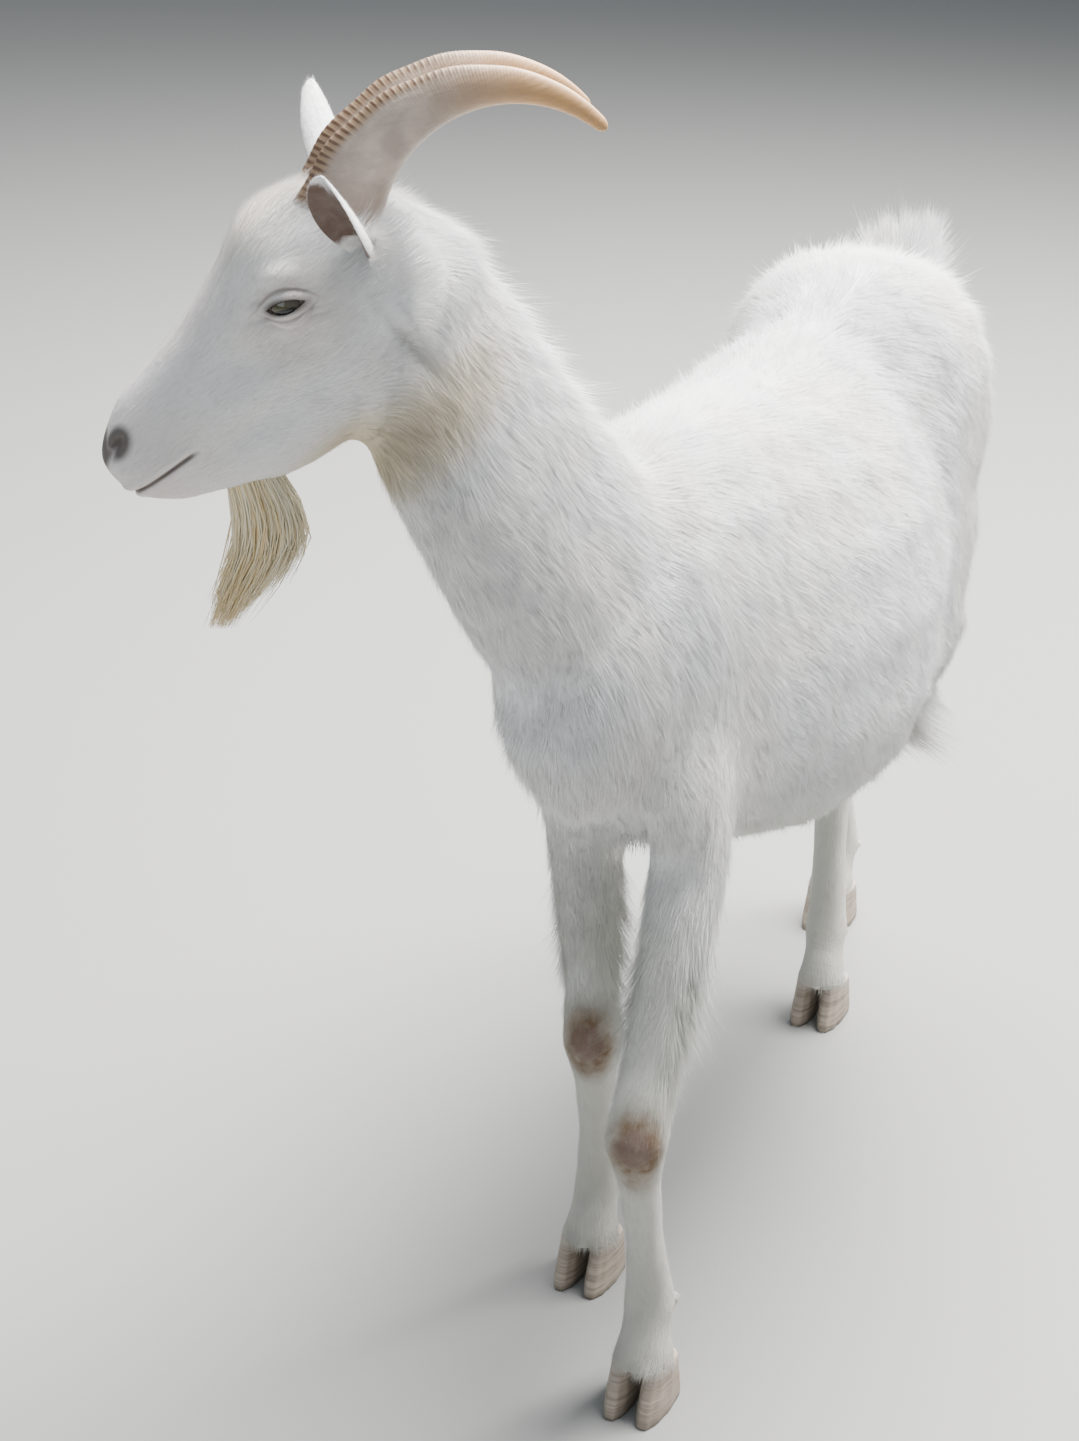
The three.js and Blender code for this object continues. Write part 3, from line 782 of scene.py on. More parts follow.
# %% The bare skin
SKIN_ROUNDS = 90
BODY_ROUNDS = 150
BODY_STEPS = (0.55, -0.556)
SHOULDER_ROUNDS = 140
SHOULDER_STEPS = (0.5, 0.5)
DEPTH_SHARE = 0.21
DEPTH_LIMITS = (1.2 * MM, 10 * MM)
TAIL_HAIR = 38 * MM
THIGH_DRAW = 13 * MM
CORONET_LAP = 5 * MM

points, triangles = joined([merged_copy(name, BRIDGE) for name in FLESH + ["eye_left", "eye_right"]])
skin_mesh = triangle_mesh("skin", points, triangles)
skin_mesh = with_modifier(skin_mesh, "REMESH", mode="VOXEL", voxel_size=VOXEL, adaptivity=0.0)
points, triangles = mesh_arrays(skin_mesh)
edges = mesh_edges(skin_mesh)
points = smoothed(points, edges, SKIN_ROUNDS)
coat = coat_at(points, point_normals(points, triangles))
x, y, z = coat["own"].T
on_body = smooth_step(points[:, 2], 0.30, 0.40) * (1 - coat["share"]["head"]) * (1 - coat["share"]["tail"])
points = smoothed(points, edges, BODY_ROUNDS, on_body, BODY_STEPS)
shoulder = smooth_step(points[:, 2], 0.37, 0.45) * (1 - smooth_step(points[:, 2], 0.60, 0.68))
shoulder *= smooth_step(x, 0.05, 0.12) * smooth_step(np.abs(y), 0.06, 0.10)
points = smoothed(points, edges, SHOULDER_ROUNDS, shoulder, SHOULDER_STEPS)

depth = np.clip(coat["length"] * DEPTH_SHARE, *DEPTH_LIMITS)
near_floor = smooth_step(points[:, 2], 0.035, 0.06)
points = points - point_normals(points, triangles) * (depth * near_floor)[:, None]
points = smoothed(points, edges, 6)
thigh_side = coat["share"]["hind_left"] * smooth_step(y, 0.04, 0.09)
points[:, 1] -= THIGH_DRAW * thigh_side * hump(points[:, 2], 0.43, 0.075)
tail_places, _ = REGIONS["tail"]
tail_way = unit(tail_places[-1] - tail_places[0])
drawn_in = coat["share"]["tail"] * smooth_step(coat["place"]["tail"], 0.15, 1.0)
points -= tail_way * (drawn_in * TAIL_HAIR)[:, None]
points[:, 2] -= CORONET_LAP * (1 - smooth_step(points[:, 2], 0.044, 0.068))
skin_mesh.vertices.foreach_set("co", points.astype(np.float32).ravel())
print("bare skin:", len(points), "points")

# %% Finer on the head


def on_head(points):
    h = to_head(points) / MM
    return (h[:, 0] > -78) & (np.abs(h[:, 1]) < 80) & (h[:, 2] > -108) & (h[:, 2] < 95)


def near_eyes(h, reach):
    gaps = [np.linalg.norm(h - eye_frame(side)[0] / MM, axis=1) for side in SIDES.values()]
    return np.minimum(*gaps) < reach


def on_features(points):
    h = to_head(points) / MM
    return near_eyes(h, 30) | (h[:, 0] > 94)


def on_lids(points):
    h = to_head(points) / MM
    muzzle = (h[:, 0] > 124) & (h[:, 2] > -24)
    mouth = (h[:, 0] > 96) & (np.abs(h[:, 2] + 37) < 7)
    return near_eyes(h, 21.5) | muzzle | mouth


for wanted in (on_head, on_features, on_lids):
    skin_mesh = refined(skin_mesh, wanted)
    print("refined:", len(skin_mesh.vertices), "points")

# %% [markdown]
# ## The face
# The fine forms of the head are sums of soft bells, in millimetres along the head's axes: the brows, the
# cheeks, the bridge of the nose, the nostrils, the lips and the chin. Round each eye the skin first takes
# the ball's own curve, a lid's thickness outside it, and then dives behind the ball inside the slit
# between the lids, so that the edge of each lid is real.

# %% Sculpt the head
LID_RADIUS = 16.2
SLIT_HALF = 12.0
UPPER_LID = 3.2
LOWER_LID = 4.3


def slit_gap(u, w):
    """How far a point lies inside the slit between the lids, in mm; negative on the lids."""
    t = np.clip(np.abs(u) / SLIT_HALF, 0, 1)
    upper = UPPER_LID * (1 - t ** 2.4)
    lower = -LOWER_LID * (1 - t ** 1.9)
    ends = (SLIT_HALF - np.abs(u)) * 0.8
    return np.minimum(np.minimum(upper - w, w - lower), ends), upper, lower


def sculpt_eye(head, side):
    at, out, slit, up = eye_frame(side)
    v = head - at / MM
    u, w, q = v @ slit, v @ up, v @ out
    facing = smooth_step(q, -4, 2)
    near = np.sqrt((u / 19) ** 2 + (w / 17) ** 2)
    mask = facing * (1 - smooth_step(near, 0.9, 1.35))
    ball = np.sqrt(np.maximum(LID_RADIUS ** 2 - u ** 2 - w ** 2, 9.0))
    rounded = 0.5 * (q + ball + np.sqrt((q - ball) ** 2 + 2.0))
    push = mask * (rounded - q)
    gap, upper, lower = slit_gap(u, w)
    wide = facing * hump(u, 0, 17)
    push += wide * (0.7 * hump(gap, -1.0, 1.1)
                    - 2.2 * hump(w, upper + 6.4, 1.7)
                    - 1.5 * hump(w, lower - 4.6, 1.4)
                    - 1.1 * hump(w, lower - 9.0, 1.6)
                    + 5.5 * hump(w, 19, 6.5) * hump(u, -2, 20)
                    + 1.2 * hump(w, -14, 4))
    push -= facing * 1.6 * hump(u, 19, 7) * hump(w, -4, 3.2)
    push -= mask * 8.5 * smooth_step(gap, -0.5, 0.7)
    return head + push[:, None] * out


def sculpt_muzzle(head):
    """Nostrils, lips, chin and philtrum."""
    x, y, z = head.T
    push = np.zeros_like(head)
    for side in SIDES.values():
        ys = y * side
        slant = (z + 5) - 0.9 * (ys - 19)
        across = (z + 5) * 0.9 + (ys - 19) * 0.5
        hole = hump(x, 143, 11) * hump(ys, 19, 7.5) * hump(slant, 0, 5.0) * np.exp(-(across / 9) ** 2)
        push += hole[:, None] * np.array([-5.5, -side * 4.0, -0.5])
        wing = hump(x, 137, 9) * hump(ys, 27, 7) * hump(z, 2, 8)
        push[:, 1] += side * 1.8 * wing
        cheek_pad = hump(x, 128, 16) * hump(ys, 27, 10) * hump(z, -26, 8)
        push[:, 1] += side * 2.0 * cheek_pad
    front = smooth_step(x, 96, 110)
    mouth_z = mouth_line(x)
    crease = front * hump(z, mouth_z, 1.5)
    push[:, 1] -= np.sign(y) * 2.6 * crease * smooth_step(np.abs(y), 0, 8)
    push[:, 0] -= 3.0 * crease * smooth_step(x, 138, 150)
    lips = front * (hump(z, mouth_z + 4.5, 3.2) + hump(z, mouth_z - 4.0, 3.0))
    push[:, 1] += np.sign(y) * 1.3 * lips * smooth_step(np.abs(y), 0, 10)
    push[:, 0] += 1.4 * lips * smooth_step(x, 135, 148)
    push[:, 0] -= 2.2 * hump(y, 0, 1.8) * smooth_step(x, 142, 150) * hump(z, -24, 11)
    push[:, 2] -= 3.0 * hump(x, 128, 14) * hump(z, -56, 12) * hump(y, 0, 16)
    return head + push


# How far out each broad form of the face stands, and its middle and width along x and along z.
FACE_FORMS = {
    "cheek muscle": (2.5, (-22, 24), (-52, 22)),
    "ridge of the cheek": (2.6, (34, 32), (-27, 8)),
    "hollow over the lips": (-3.4, (62, 28), (-46, 9)),
    "groove behind the jaw": (-5.5, (-46, 7), (-58, 28)),
}


def sculpt_planes(head):
    """Cheek, jaw, bridge and the hollow before the eye: broad forms, out from the head's middle plane."""
    x, y, z = head.T
    side = np.sign(y)
    push = np.zeros_like(head)
    for out, along_x, along_z in FACE_FORMS.values():
        push[:, 1] += side * out * hump(x, *along_x) * hump(z, *along_z)
    push[:, 1] -= side * 4.0 * hump(x, 44, 20) * hump(z, -6, 12) * hump(np.abs(y), 36, 14)
    push[:, 2] += 1.6 * hump(y, 0, 9) * hump(x, 70, 46) * smooth_step(z, 5, 20)
    return head + push


points, triangles = mesh_arrays(skin_mesh)
head = to_head(points) / MM
nearby = (np.linalg.norm(head - (20, 0, -20), axis=1) < 190)
shaped = sculpt_muzzle(sculpt_planes(head[nearby]))
for side in SIDES.values():
    shaped = sculpt_eye(shaped, side)
points[nearby] = from_head(shaped * MM)
skin_mesh.vertices.foreach_set("co", points.astype(np.float32).ravel())
skin_mesh.update()
print("sculpted", int(nearby.sum()), "points of the head")

# %% [markdown]
# ## Ears
# An ear is a leaf rolled round its length, closed to a tube where it leaves the head and open above. Its
# rim is thin and rounded. It is made as a fine grid on the head's axes and then joined to the skin by a
# boolean union, so the surface runs from cheek to ear without a seam.

# %% Ear shells
EAR_LENGTH, EAR_HALF, EAR_RIM, EAR_THICK = 122.0, 21.5, 1.2, 3.4
EAR_ROLL = (2.1, 0.85)
EAR_BASE = np.array([-64.0, 38.0, 3.0])
EAR_AXES = {LEFT: ((-10, 95, 64), (0.8, 0.35, -0.3)), RIGHT: ((-19, -85, 68), (0.8, -0.35, -0.3))}
EAR_ROWS, EAR_HALF_COLUMNS = 90, 36


def ear_frame(side):
    along, opens = (np.array(v, float) for v in EAR_AXES[side])
    along = unit(along)
    opens = unit(opens - (opens @ along) * along)
    return along, opens, np.cross(opens, along), EAR_BASE * (1, side, 1)


def ear_shell(side):
    """Rings t = 0..1 up the ear: the outer wall from rim to rim, and the inner wall back again."""
    along, opens, across, base = ear_frame(side)
    t = np.linspace(0, 1, EAR_ROWS)[:, None]
    width = EAR_HALF * (0.58 + 0.42 * np.sin(math.pi * t ** 0.85)) * np.sqrt(1 - 0.995 * t ** 6) + EAR_RIM
    turn = EAR_ROLL[0] + (EAR_ROLL[1] - EAR_ROLL[0]) * t ** 0.6
    radius = width / turn
    share = np.sin(np.linspace(-0.5, 0.5, EAR_HALF_COLUMNS) * math.pi)[None, :]
    thick = np.minimum(EAR_THICK * (1 - 0.45 * t), radius * 0.6)
    half = 0.5 * thick * np.sqrt(np.clip(1 - np.abs(share) ** 5, 0.02, 1))
    fold = 1.6 * np.sin(share * 5.0) * hump(t, 0.30, 0.30) * (1 - share ** 2)
    low_fold = smooth_step(t, 0.1, 0.3) * (1 - smooth_step(t, 0.5, 0.8))
    inner_push = half + 0.9 * hump(share, 0.35, 0.12) * low_fold

    def wall(r):
        place = base + along * (EAR_LENGTH * t)[..., None] + opens * radius[..., None]
        angle = turn * share
        return (place - opens * (r * np.cos(angle))[..., None] + across * (r * np.sin(angle))[..., None])

    middle = radius - 0.5 * thick + fold * 0.25
    rings = np.concatenate([wall(middle + half), wall(middle - inner_push)[:, ::-1]], 1)
    points, triangles = shell(from_head(rings * MM))
    return points, outwards(points, triangles)


for name, side in SIDES.items():
    ear = bpy.data.objects.new("ear_shell_" + name, triangle_mesh("ear_shell_" + name, *ear_shell(side)))
    bpy.context.scene.collection.objects.link(ear)
    before = len(skin_mesh.vertices)
    skin_mesh = with_modifier(skin_mesh, "BOOLEAN", operation="UNION", object=ear, solver="MANIFOLD")
    bpy.data.objects.remove(ear)
    print(name, "ear joined:", before, "->", len(skin_mesh.vertices), "points")

SKIN_TRIANGLES = 185000
full = len(mesh_arrays(skin_mesh)[1])
skin_mesh = with_modifier(skin_mesh, "DECIMATE", ratio=SKIN_TRIANGLES / full)
print("thinned from", full, "triangles")

# %% [markdown]
# ## The skin's finish
# Where hair is short and lies flat, relief does its work: fine streaks that run the way the hair lies.
# For that the skin carries an attribute, `grain`, with the distance across the hair and along it, so a
# noise that is long one way and short the other draws hairs. The insides of the ears are thinly haired
# and brown, darkened further with painted shade in the hollow; a second attribute tells the material where
# they are.

# %% Grain and ear masks as attributes


def lie_frame(points, coat):
    """Across and along in metres, measured in each region round and along its line."""
    grain = np.zeros((len(points), 2))
    for i, name in enumerate(NAMES):
        places, radii = REGIONS[name]
        chosen = coat["weights"].argmax(1) == i
        axis = unit(places[-1] - places[0])
        start = places.mean(0)
        first = unit(np.cross(axis, (0.3, 1, 0.2)))
        second = np.cross(axis, first)
        v = points[chosen] - start
        angle = np.arctan2(v @ second, v @ first)
        grain[chosen, 0] = angle * np.mean(radii) * MM + i
        grain[chosen, 1] = v @ axis
    return grain


def ear_inside(points, normals):
    """1 on the hollow side of an ear, away from its rim and its root."""
    head = to_head(points) / MM
    facing = to_head(points + normals) - to_head(points)
    inside = np.zeros(len(points))
    for side in SIDES.values():
        along, opens, across, base = ear_frame(side)
        v = head - base
        t = v @ along / EAR_LENGTH
        hollow = smooth_step(facing @ opens, 0.0, 0.35)
        width = EAR_HALF * (0.58 + 0.42 * np.sin(math.pi * np.clip(t, 0, 1) ** 0.85))
        rim = 1 - smooth_step(np.abs(v @ across) / width, 0.62, 0.9)
        near = smooth_step(t, 0.16, 0.26) * (1 - smooth_step(t, 0.86, 0.95)) * (np.abs(v @ across) < 26)
        inside = np.maximum(inside, hollow * rim * near * (v @ opens > -6) * (v @ opens < 26))
    return inside


def ear_share(points):
    """1 on an ear's leaf, 0 on the head."""
    head = to_head(points) / MM
    share = np.zeros(len(points))
    for side in SIDES.values():
        along, opens, across, base = ear_frame(side)
        v = head - base
        t = v @ along / EAR_LENGTH
        near = (np.abs(v @ across) < 27) & (v @ opens > -9) & (v @ opens < 30)
        share = np.maximum(share, smooth_step(t, 0.13, 0.22) * near)
    return share


def set_attribute(mesh, name, values, kind="FLOAT"):
    layer = mesh.attributes.new(name, kind, "POINT")
    key = "value" if kind == "FLOAT" else "vector"
    layer.data.foreach_set(key, np.asarray(values, np.float32).ravel())


skin_points, skin_triangles = mesh_arrays(skin_mesh)
skin_normals = point_normals(skin_points, skin_triangles)
skin_coat = coat_at(skin_points, skin_normals)
grain = lie_frame(skin_points, skin_coat)
on_ear = ear_share(skin_points)
in_ear = ear_inside(skin_points, skin_normals)
set_attribute(skin_mesh, "grain", np.c_[grain, np.zeros(len(grain))], "FLOAT_VECTOR")
set_attribute(skin_mesh, "ear_inside", np.clip(in_ear * 1.8, 0, 1))


def ear_marked(finish, colour):
    """The coat's colour with brown, thinly haired skin inside the ears, darkened further as painted shade in
    their hollows.
    """
    inside = finish.attribute("ear_inside")
    mottle = finish.noise(finish.place, 90.0, 2.0)
    return finish.mix(inside * (0.86 + mottle * 0.14), colour, EAR_SKIN_AND_SHADE)


skin_finish = Finish("short_hair")
streaks = skin_finish.stretched(skin_finish.attribute("grain", "Vector"), (0.0011, 0.011, 1.0))
hairs = skin_finish.noise(streaks, 1.0, 3.0, 0.6)
locks = skin_finish.stretched(skin_finish.attribute("grain", "Vector"), (0.004, 0.03, 1.0))
coarse = skin_finish.noise(locks, 1.0, 2.0)
shade = 0.86 + hairs * 0.16 + coarse * 0.10
skin_colour = ear_marked(skin_finish, coat_colour(skin_finish))
skin_colour = skin_finish.mix(1 - shade, skin_colour, (0.30, 0.27, 0.26))
skin_finish.set(Base_Color=skin_colour, Roughness=0.72, Specular_IOR_Level=0.25, Sheen_Weight=0.08,
                Sheen_Roughness=0.4, Normal=skin_finish.bump(hairs + coarse * 0.7, 0.55, 0.0012))
piece("skin", skin_mesh, skin_finish, FLESH + ["ear_left", "ear_right"])

# %% [markdown]
# ## Eyes
# A goat's eye is a dull amber with a slot of a pupil. The ball is one surface of rings round its own
# axis, with a clear bulge where the cornea is. Iris and pupil are drawn by distance from that axis.

# %% Eyeballs


def eye_finish(name, side):
    at, out, slit, up = eye_frame(side)
    eye = Finish(name)
    turned = Matrix(head_axes) @ Matrix((slit, up, out)).transposed()
    local = eye.stretched(eye.place, (MM, MM, MM), tuple(from_head(at)), tuple(turned.to_euler("XYZ")))
    u, w, _ = eye.parts(local)
    radius = (u * u + w * w) ** 0.5
    fibres = eye.noise(eye.stretched(local, (0.6, 0.6, 4.0)), 1.0, 3.0)
    iris = eye.mix(fibres.step(0.3, 0.7), (0.055, 0.047, 0.025), (0.105, 0.090, 0.050))
    iris = eye.mix(radius.step(6.0, 9.5), iris, (0.06, 0.045, 0.03))
    slot = (u / 6.2) ** 4.0 + (w.maths("ABSOLUTE") / 2.0) ** 4.0
    colour = eye.mix(1 - slot.step(0.6, 1.5), iris, (0.004, 0.004, 0.005))
    white = eye.mix(0.5, (0.42, 0.34, 0.28), (0.20, 0.13, 0.10))
    colour = eye.mix(radius.step(9.6, 10.6), colour, white)
    eye.set(Base_Color=colour, Roughness=0.06, IOR=1.38, Coat_Weight=1.0, Coat_Roughness=0.02)
    return eye


def eye_surface(side):
    """Rings of colatitude a from the cornea's middle: the radius grows by a bell round the axis."""
    at, out, slit, up = eye_frame(side)
    a = np.linspace(0.02, math.pi - 0.02, 40)[:, None]
    b = np.linspace(0, 2 * math.pi, 64, endpoint=False)[None, :]
    radius = EYE_RADIUS * (1 + 0.045 * hump(a, 0, 0.55)) + 0 * b
    spot = (np.cos(a)[..., None] * out + (np.sin(a) * np.cos(b))[..., None] * slit
            + (np.sin(a) * np.sin(b))[..., None] * up)
    points, triangles = shell(from_head(at + radius[..., None] * spot))
    return points, outwards(points, triangles)


for name, side in SIDES.items():
    eye_mesh = triangle_mesh("eyeball_" + name, *eye_surface(side))
    piece("eyeball_" + name, eye_mesh, eye_finish("amber_eye_" + name, side), ["eye_" + name])

# %% [markdown]
# ## Horns
# A horn grows in steps, and each step leaves a ring. The rings stand up as close ridges on the keel in
# front and fade to fine lines on the flat side, and the tip is smooth. The horn is a tube of sections
# along an arc in the head's middle plane that tightens towards the tip. Its finish runs from brown on
# the keel through pinkish grey on the side to orange near the tip.

# %% Horn surfaces
HORN_CENTRE = (-134.0, -45.0)
HORN_ARC = (36.0, 168.0)
HORN_ROWS, HORN_COLUMNS = 400, 40
HORN_RIDGES = 58
HORN_LINES = (0.010, 0.010, 0.0016)
HORN_LINES_TURN = (0, 0.6, 0)
HORN_GREY, HORN_PALE, HORN_ORANGE = (0.31, 0.255, 0.215), (0.47, 0.39, 0.33), (0.60, 0.33, 0.135)
HORN_KEEL, HORN_GAPS, HORN_ROOT = (0.30, 0.20, 0.12), (0.10, 0.052, 0.028), (0.20, 0.12, 0.08)
HORN_LINE = (0.24, 0.18, 0.15)


def horn_surface(side):
    """Rows t along the arc, columns a round the section; front is where sin a = 1."""
    t = np.linspace(0, 1, HORN_ROWS)[:, None]
    a = np.linspace(0, 2 * math.pi, HORN_COLUMNS, endpoint=False)[None, :]
    angle = np.radians(HORN_ARC[0] + (HORN_ARC[1] - HORN_ARC[0]) * t)
    radius = 100 - 14 * t ** 0.7
    out = np.stack([np.cos(angle), 0 * angle, np.sin(angle)], -1)
    middle = (np.array([HORN_CENTRE[0], 0, HORN_CENTRE[1]]) + radius[..., None] * out
              + np.array([0, side, 0]) * (21 + 17 * t ** 1.5)[..., None])
    swellings = 1 + 0.045 * (1 - t) * np.sin(12 * math.pi * t)
    width = 15.5 - 12.5 * t ** 1.25
    front = (44 - 40.5 * t ** 0.55) * swellings
    back = 21 - 17 * t ** 1.25
    c, s = np.cos(a), np.sin(a)
    across = np.sign(c) * np.abs(c) ** 0.95 * width * (1 - 0.22 * s)
    high = np.sign(s) * np.abs(s) ** 0.95 * np.where(s > 0, front, back)
    keel = np.clip(s, 0, 1) ** 3
    phase = 2 * math.pi * HORN_RIDGES * t ** 0.92 + 0.5 * np.sin(9 * t + 2 * c)
    uneven = 0.75 + 0.25 * np.sin(17 * t) * np.sin(41 * t + 1)
    ridges = uneven * (0.5 + 0.5 * np.sin(phase)) ** 1.3 * (1 - smooth_step(t, 0.45, 0.75))
    fine = 0.12 * np.sin(phase * 2.0 + 3 * s) * (1 - smooth_step(t, 0.55, 0.95))
    grow = ridges * (0.10 + 0.22 * keel) + fine
    point = np.sqrt(np.clip(1 - np.clip((t - 0.97) / 0.03, 0, 1) ** 2, 0.02, 1))
    across = across * (1 + grow / 30) * point
    high = (high + s * grow) * point
    rings = middle + across[..., None] * np.array([0, 1, 0]) + high[..., None] * out
    points, triangles = shell(from_head(rings * MM))
    along = np.concatenate([np.broadcast_to(t, (HORN_ROWS, HORN_COLUMNS)).ravel(), [0, 1]])
    keels = np.concatenate([np.broadcast_to(s, (HORN_ROWS, HORN_COLUMNS)).ravel(), [0, 0]])
    relief = np.concatenate([(ridges * (0.3 + 0.7 * keel)).ravel(), [0, 0]])
    return points, outwards(points, triangles), along, keels, relief


horn_finish = Finish("horn")
along, keel, relief = (horn_finish.attribute(name) for name in ("along", "keel", "relief"))
lines_at = horn_finish.stretched(horn_finish.place, HORN_LINES, (0, 0, 0), HORN_LINES_TURN)
lines = horn_finish.noise(lines_at, 1.0, 3.0)
mottle = horn_finish.noise(horn_finish.place, 45.0, 3.0)
side_colour = horn_finish.mix(mottle.step(0.35, 0.7), HORN_GREY, HORN_PALE)
side_colour = horn_finish.mix(along.step(0.36, 0.85), side_colour, HORN_ORANGE)
front_colour = horn_finish.mix(relief.step(0.1, 0.5), HORN_KEEL, HORN_GAPS)
front = keel.step(0.62, 0.86) * (1 - along.step(0.42, 0.72))
horn_colour = horn_finish.mix(front, side_colour, front_colour)
root = (1 - along.step(0.02, 0.22)) * (0.35 + mottle * 0.5)
horn_colour = horn_finish.mix(root, horn_colour, HORN_ROOT)
horn_colour = horn_finish.mix(lines.step(0.45, 0.75) * 0.25, horn_colour, HORN_LINE)
horn_finish.set(Base_Color=horn_colour, Roughness=0.44 + mottle * 0.2,
                Normal=horn_finish.bump(lines + mottle * 0.5, 0.35, 0.0012))

for name, side in SIDES.items():
    points, triangles, along_values, keel_values, relief_values = horn_surface(side)
    horn_mesh = triangle_mesh("ridged_horn_" + name, points, triangles)
    for key, values in (("along", along_values), ("keel", keel_values), ("relief", relief_values)):
        set_attribute(horn_mesh, key, values)
    piece("ridged_horn_" + name, horn_mesh, horn_finish, ["horn_" + name])

# %% [markdown]
# ## Hooves and dewclaws
# Each foot stands on two horny claws. A copy of each claw solid is merged, remeshed finely and smoothed,
# which rounds its edges, while the sole stays level. The dewclaws behind the fetlocks are small blunt
# cones of the same horn: rings along their way whose radius falls to nothing at the tip.

# %% Claws
hoof_finish = Finish("hoof_horn")
_, _, height = hoof_finish.parts(hoof_finish.place)
rings_noise = hoof_finish.noise(hoof_finish.stretched(hoof_finish.place, (0.05, 0.05, 0.0022)), 1.0, 2.0)
wear = hoof_finish.noise(hoof_finish.place, 60.0, 4.0)
hoof_colour = hoof_finish.mix(rings_noise.step(0.35, 0.65), (0.24, 0.195, 0.155), (0.36, 0.30, 0.24))
hoof_colour = hoof_finish.mix(height.step(0.026, 0.046) * 0.6, hoof_colour, (0.50, 0.42, 0.36))
hoof_colour = hoof_finish.mix((1 - height.step(0.0, 0.010)) * wear * 0.8, hoof_colour, (0.15, 0.12, 0.095))
hoof_finish.set(Base_Color=hoof_colour, Roughness=0.5 + wear * 0.25,
                Normal=hoof_finish.bump(rings_noise + wear * 0.4, 0.5, 0.0014))

CLAW_VOXEL = 1.7 * MM
for name in [n for n in nodes if "claw" in n]:
    mesh = triangle_mesh(name + "_work", *merged_copy(name, 0.0))
    mesh = with_modifier(mesh, "REMESH", mode="VOXEL", voxel_size=CLAW_VOXEL, adaptivity=0.0)
    points, _ = mesh_arrays(mesh)
    points = smoothed(points, mesh_edges(mesh), 26)
    points[:, 2] = np.where(points[:, 2] < 1.2 * MM, 0.0, points[:, 2])
    mesh.vertices.foreach_set("co", points.astype(np.float32).ravel())
    mesh.shade_smooth()
    piece(name.replace("claw", "hoof"), mesh, hoof_finish, [name])


DEWCLAW_LENGTH, DEWCLAW_RADIUS = 11 * MM, 5.5 * MM
DEWCLAW_AT = np.array([-13.0, 9.5, -14.0]) * MM
DEWCLAW_WAY = np.array([-0.55, 0.10, -0.83])


def dewclaw(at, way):
    """A blunt cone: rings along way whose radius falls as sqrt(1 - t^2.2)."""
    t = np.linspace(0, 1, 14)[:, None]
    b = np.linspace(0, 2 * math.pi, 18, endpoint=False)[None, :]
    radius = DEWCLAW_RADIUS * np.sqrt(np.clip(1 - t ** 2.2, 0.003, 1)) + 0 * b
    side_way = unit(np.cross(way, (0, 0, 1.0)))
    up_way = np.cross(side_way, way)
    rings = (at + way * (t * DEWCLAW_LENGTH)[..., None] + (radius * np.cos(b))[..., None] * side_way
             + (radius * 1.2 * np.sin(b))[..., None] * up_way)
    points, triangles = shell(rings)
    return points, outwards(points, triangles)


dewclaws = []
for name in LEGS:
    fetlock = REGIONS[name][0][3]
    for side in SIDES.values():
        dewclaws.append(dewclaw(fetlock + DEWCLAW_AT * (1, side, 1), unit(DEWCLAW_WAY * (1, side, 1))))
piece("dewclaws", triangle_mesh("dewclaws", *joined(dewclaws)), hoof_finish)

# %% [markdown]
# ## Tufts of hair
# A tuft is a thin closed needle of four faces: a small flat triangle sunk in the skin, and a point one
# hair's length away, along the lie of the coat and a little up. Hundreds of thousands are worked out at
# once as arrays. Roots are spread over the skin's triangles by area, and neighbours lean together,
# because part of their direction comes from noises that are 70 and 22 mm wide. Each coat piece has a UV
# map, OFBake, on which every tuft is a small patch at its root's place on an unwrap of its region: the
# angle round the region's line across, and the place along the line up.

# %% Spread the roots
PATCH = 0.003
TUFT_MARGIN = 0.02


def triangle_areas(points, triangles):
    a, b, c = (points[triangles[:, k]] for k in range(3))
    return 0.5 * np.linalg.norm(np.cross(b - a, c - a), axis=1)


def spread(count, density, random):
    """Roots on the skin: triangle numbers and the three weights of its corners, evenly by density."""
    share = triangle_areas(skin_points, skin_triangles) * density[skin_triangles].mean(1)
    ends = np.cumsum(share)
    picks = (np.arange(count) + random.uniform(0, 1, count)) / count * ends[-1]
    chosen = np.minimum(np.searchsorted(ends, picks), len(ends) - 1)
    r1, r2 = np.sqrt(random.uniform(0, 1, count)), random.uniform(0, 1, count)
    return chosen, np.stack([1 - r1, r1 * (1 - r2), r1 * r2], 1)


def at_roots(values, chosen, weights):
    """A field on the skin's points, taken to the roots."""
    corners = values[skin_triangles[chosen]]
    if values.ndim == 2:
        return (corners * weights[..., None]).sum(1)
    return (corners * weights).sum(1)


# %% Build tufts from arrays
CORNERS = np.radians([90.0, 210.0, 330.0])
NEEDLE_FACES = np.array([[0, 2, 1], [0, 1, 3], [1, 2, 3], [2, 0, 3]])
SINK_SHARE = 0.035
BASE_SHARE = 0.375
FLATNESS = 0.28
TIP_RISE = 0.48


def needle_points(roots, normals, lies, length, width, lift, curl):
    """Points (tuft, 4, 3): three corners sunk under the root, and root + length (lie + up + aside)."""
    side = np.cross(normals, lies)
    sunk = roots - normals * (SINK_SHARE * length)[:, None]
    across = (BASE_SHARE * width)[:, None] * np.cos(CORNERS)
    up = (BASE_SHARE * FLATNESS * width)[:, None] * np.sin(CORNERS)
    base = sunk[:, None] + across[..., None] * side[:, None] + up[..., None] * normals[:, None]
    way = lies + normals * (TIP_RISE * lift)[:, None] + side * curl[:, None]
    return np.concatenate([base, (sunk + way * length[:, None])[:, None]], 1)


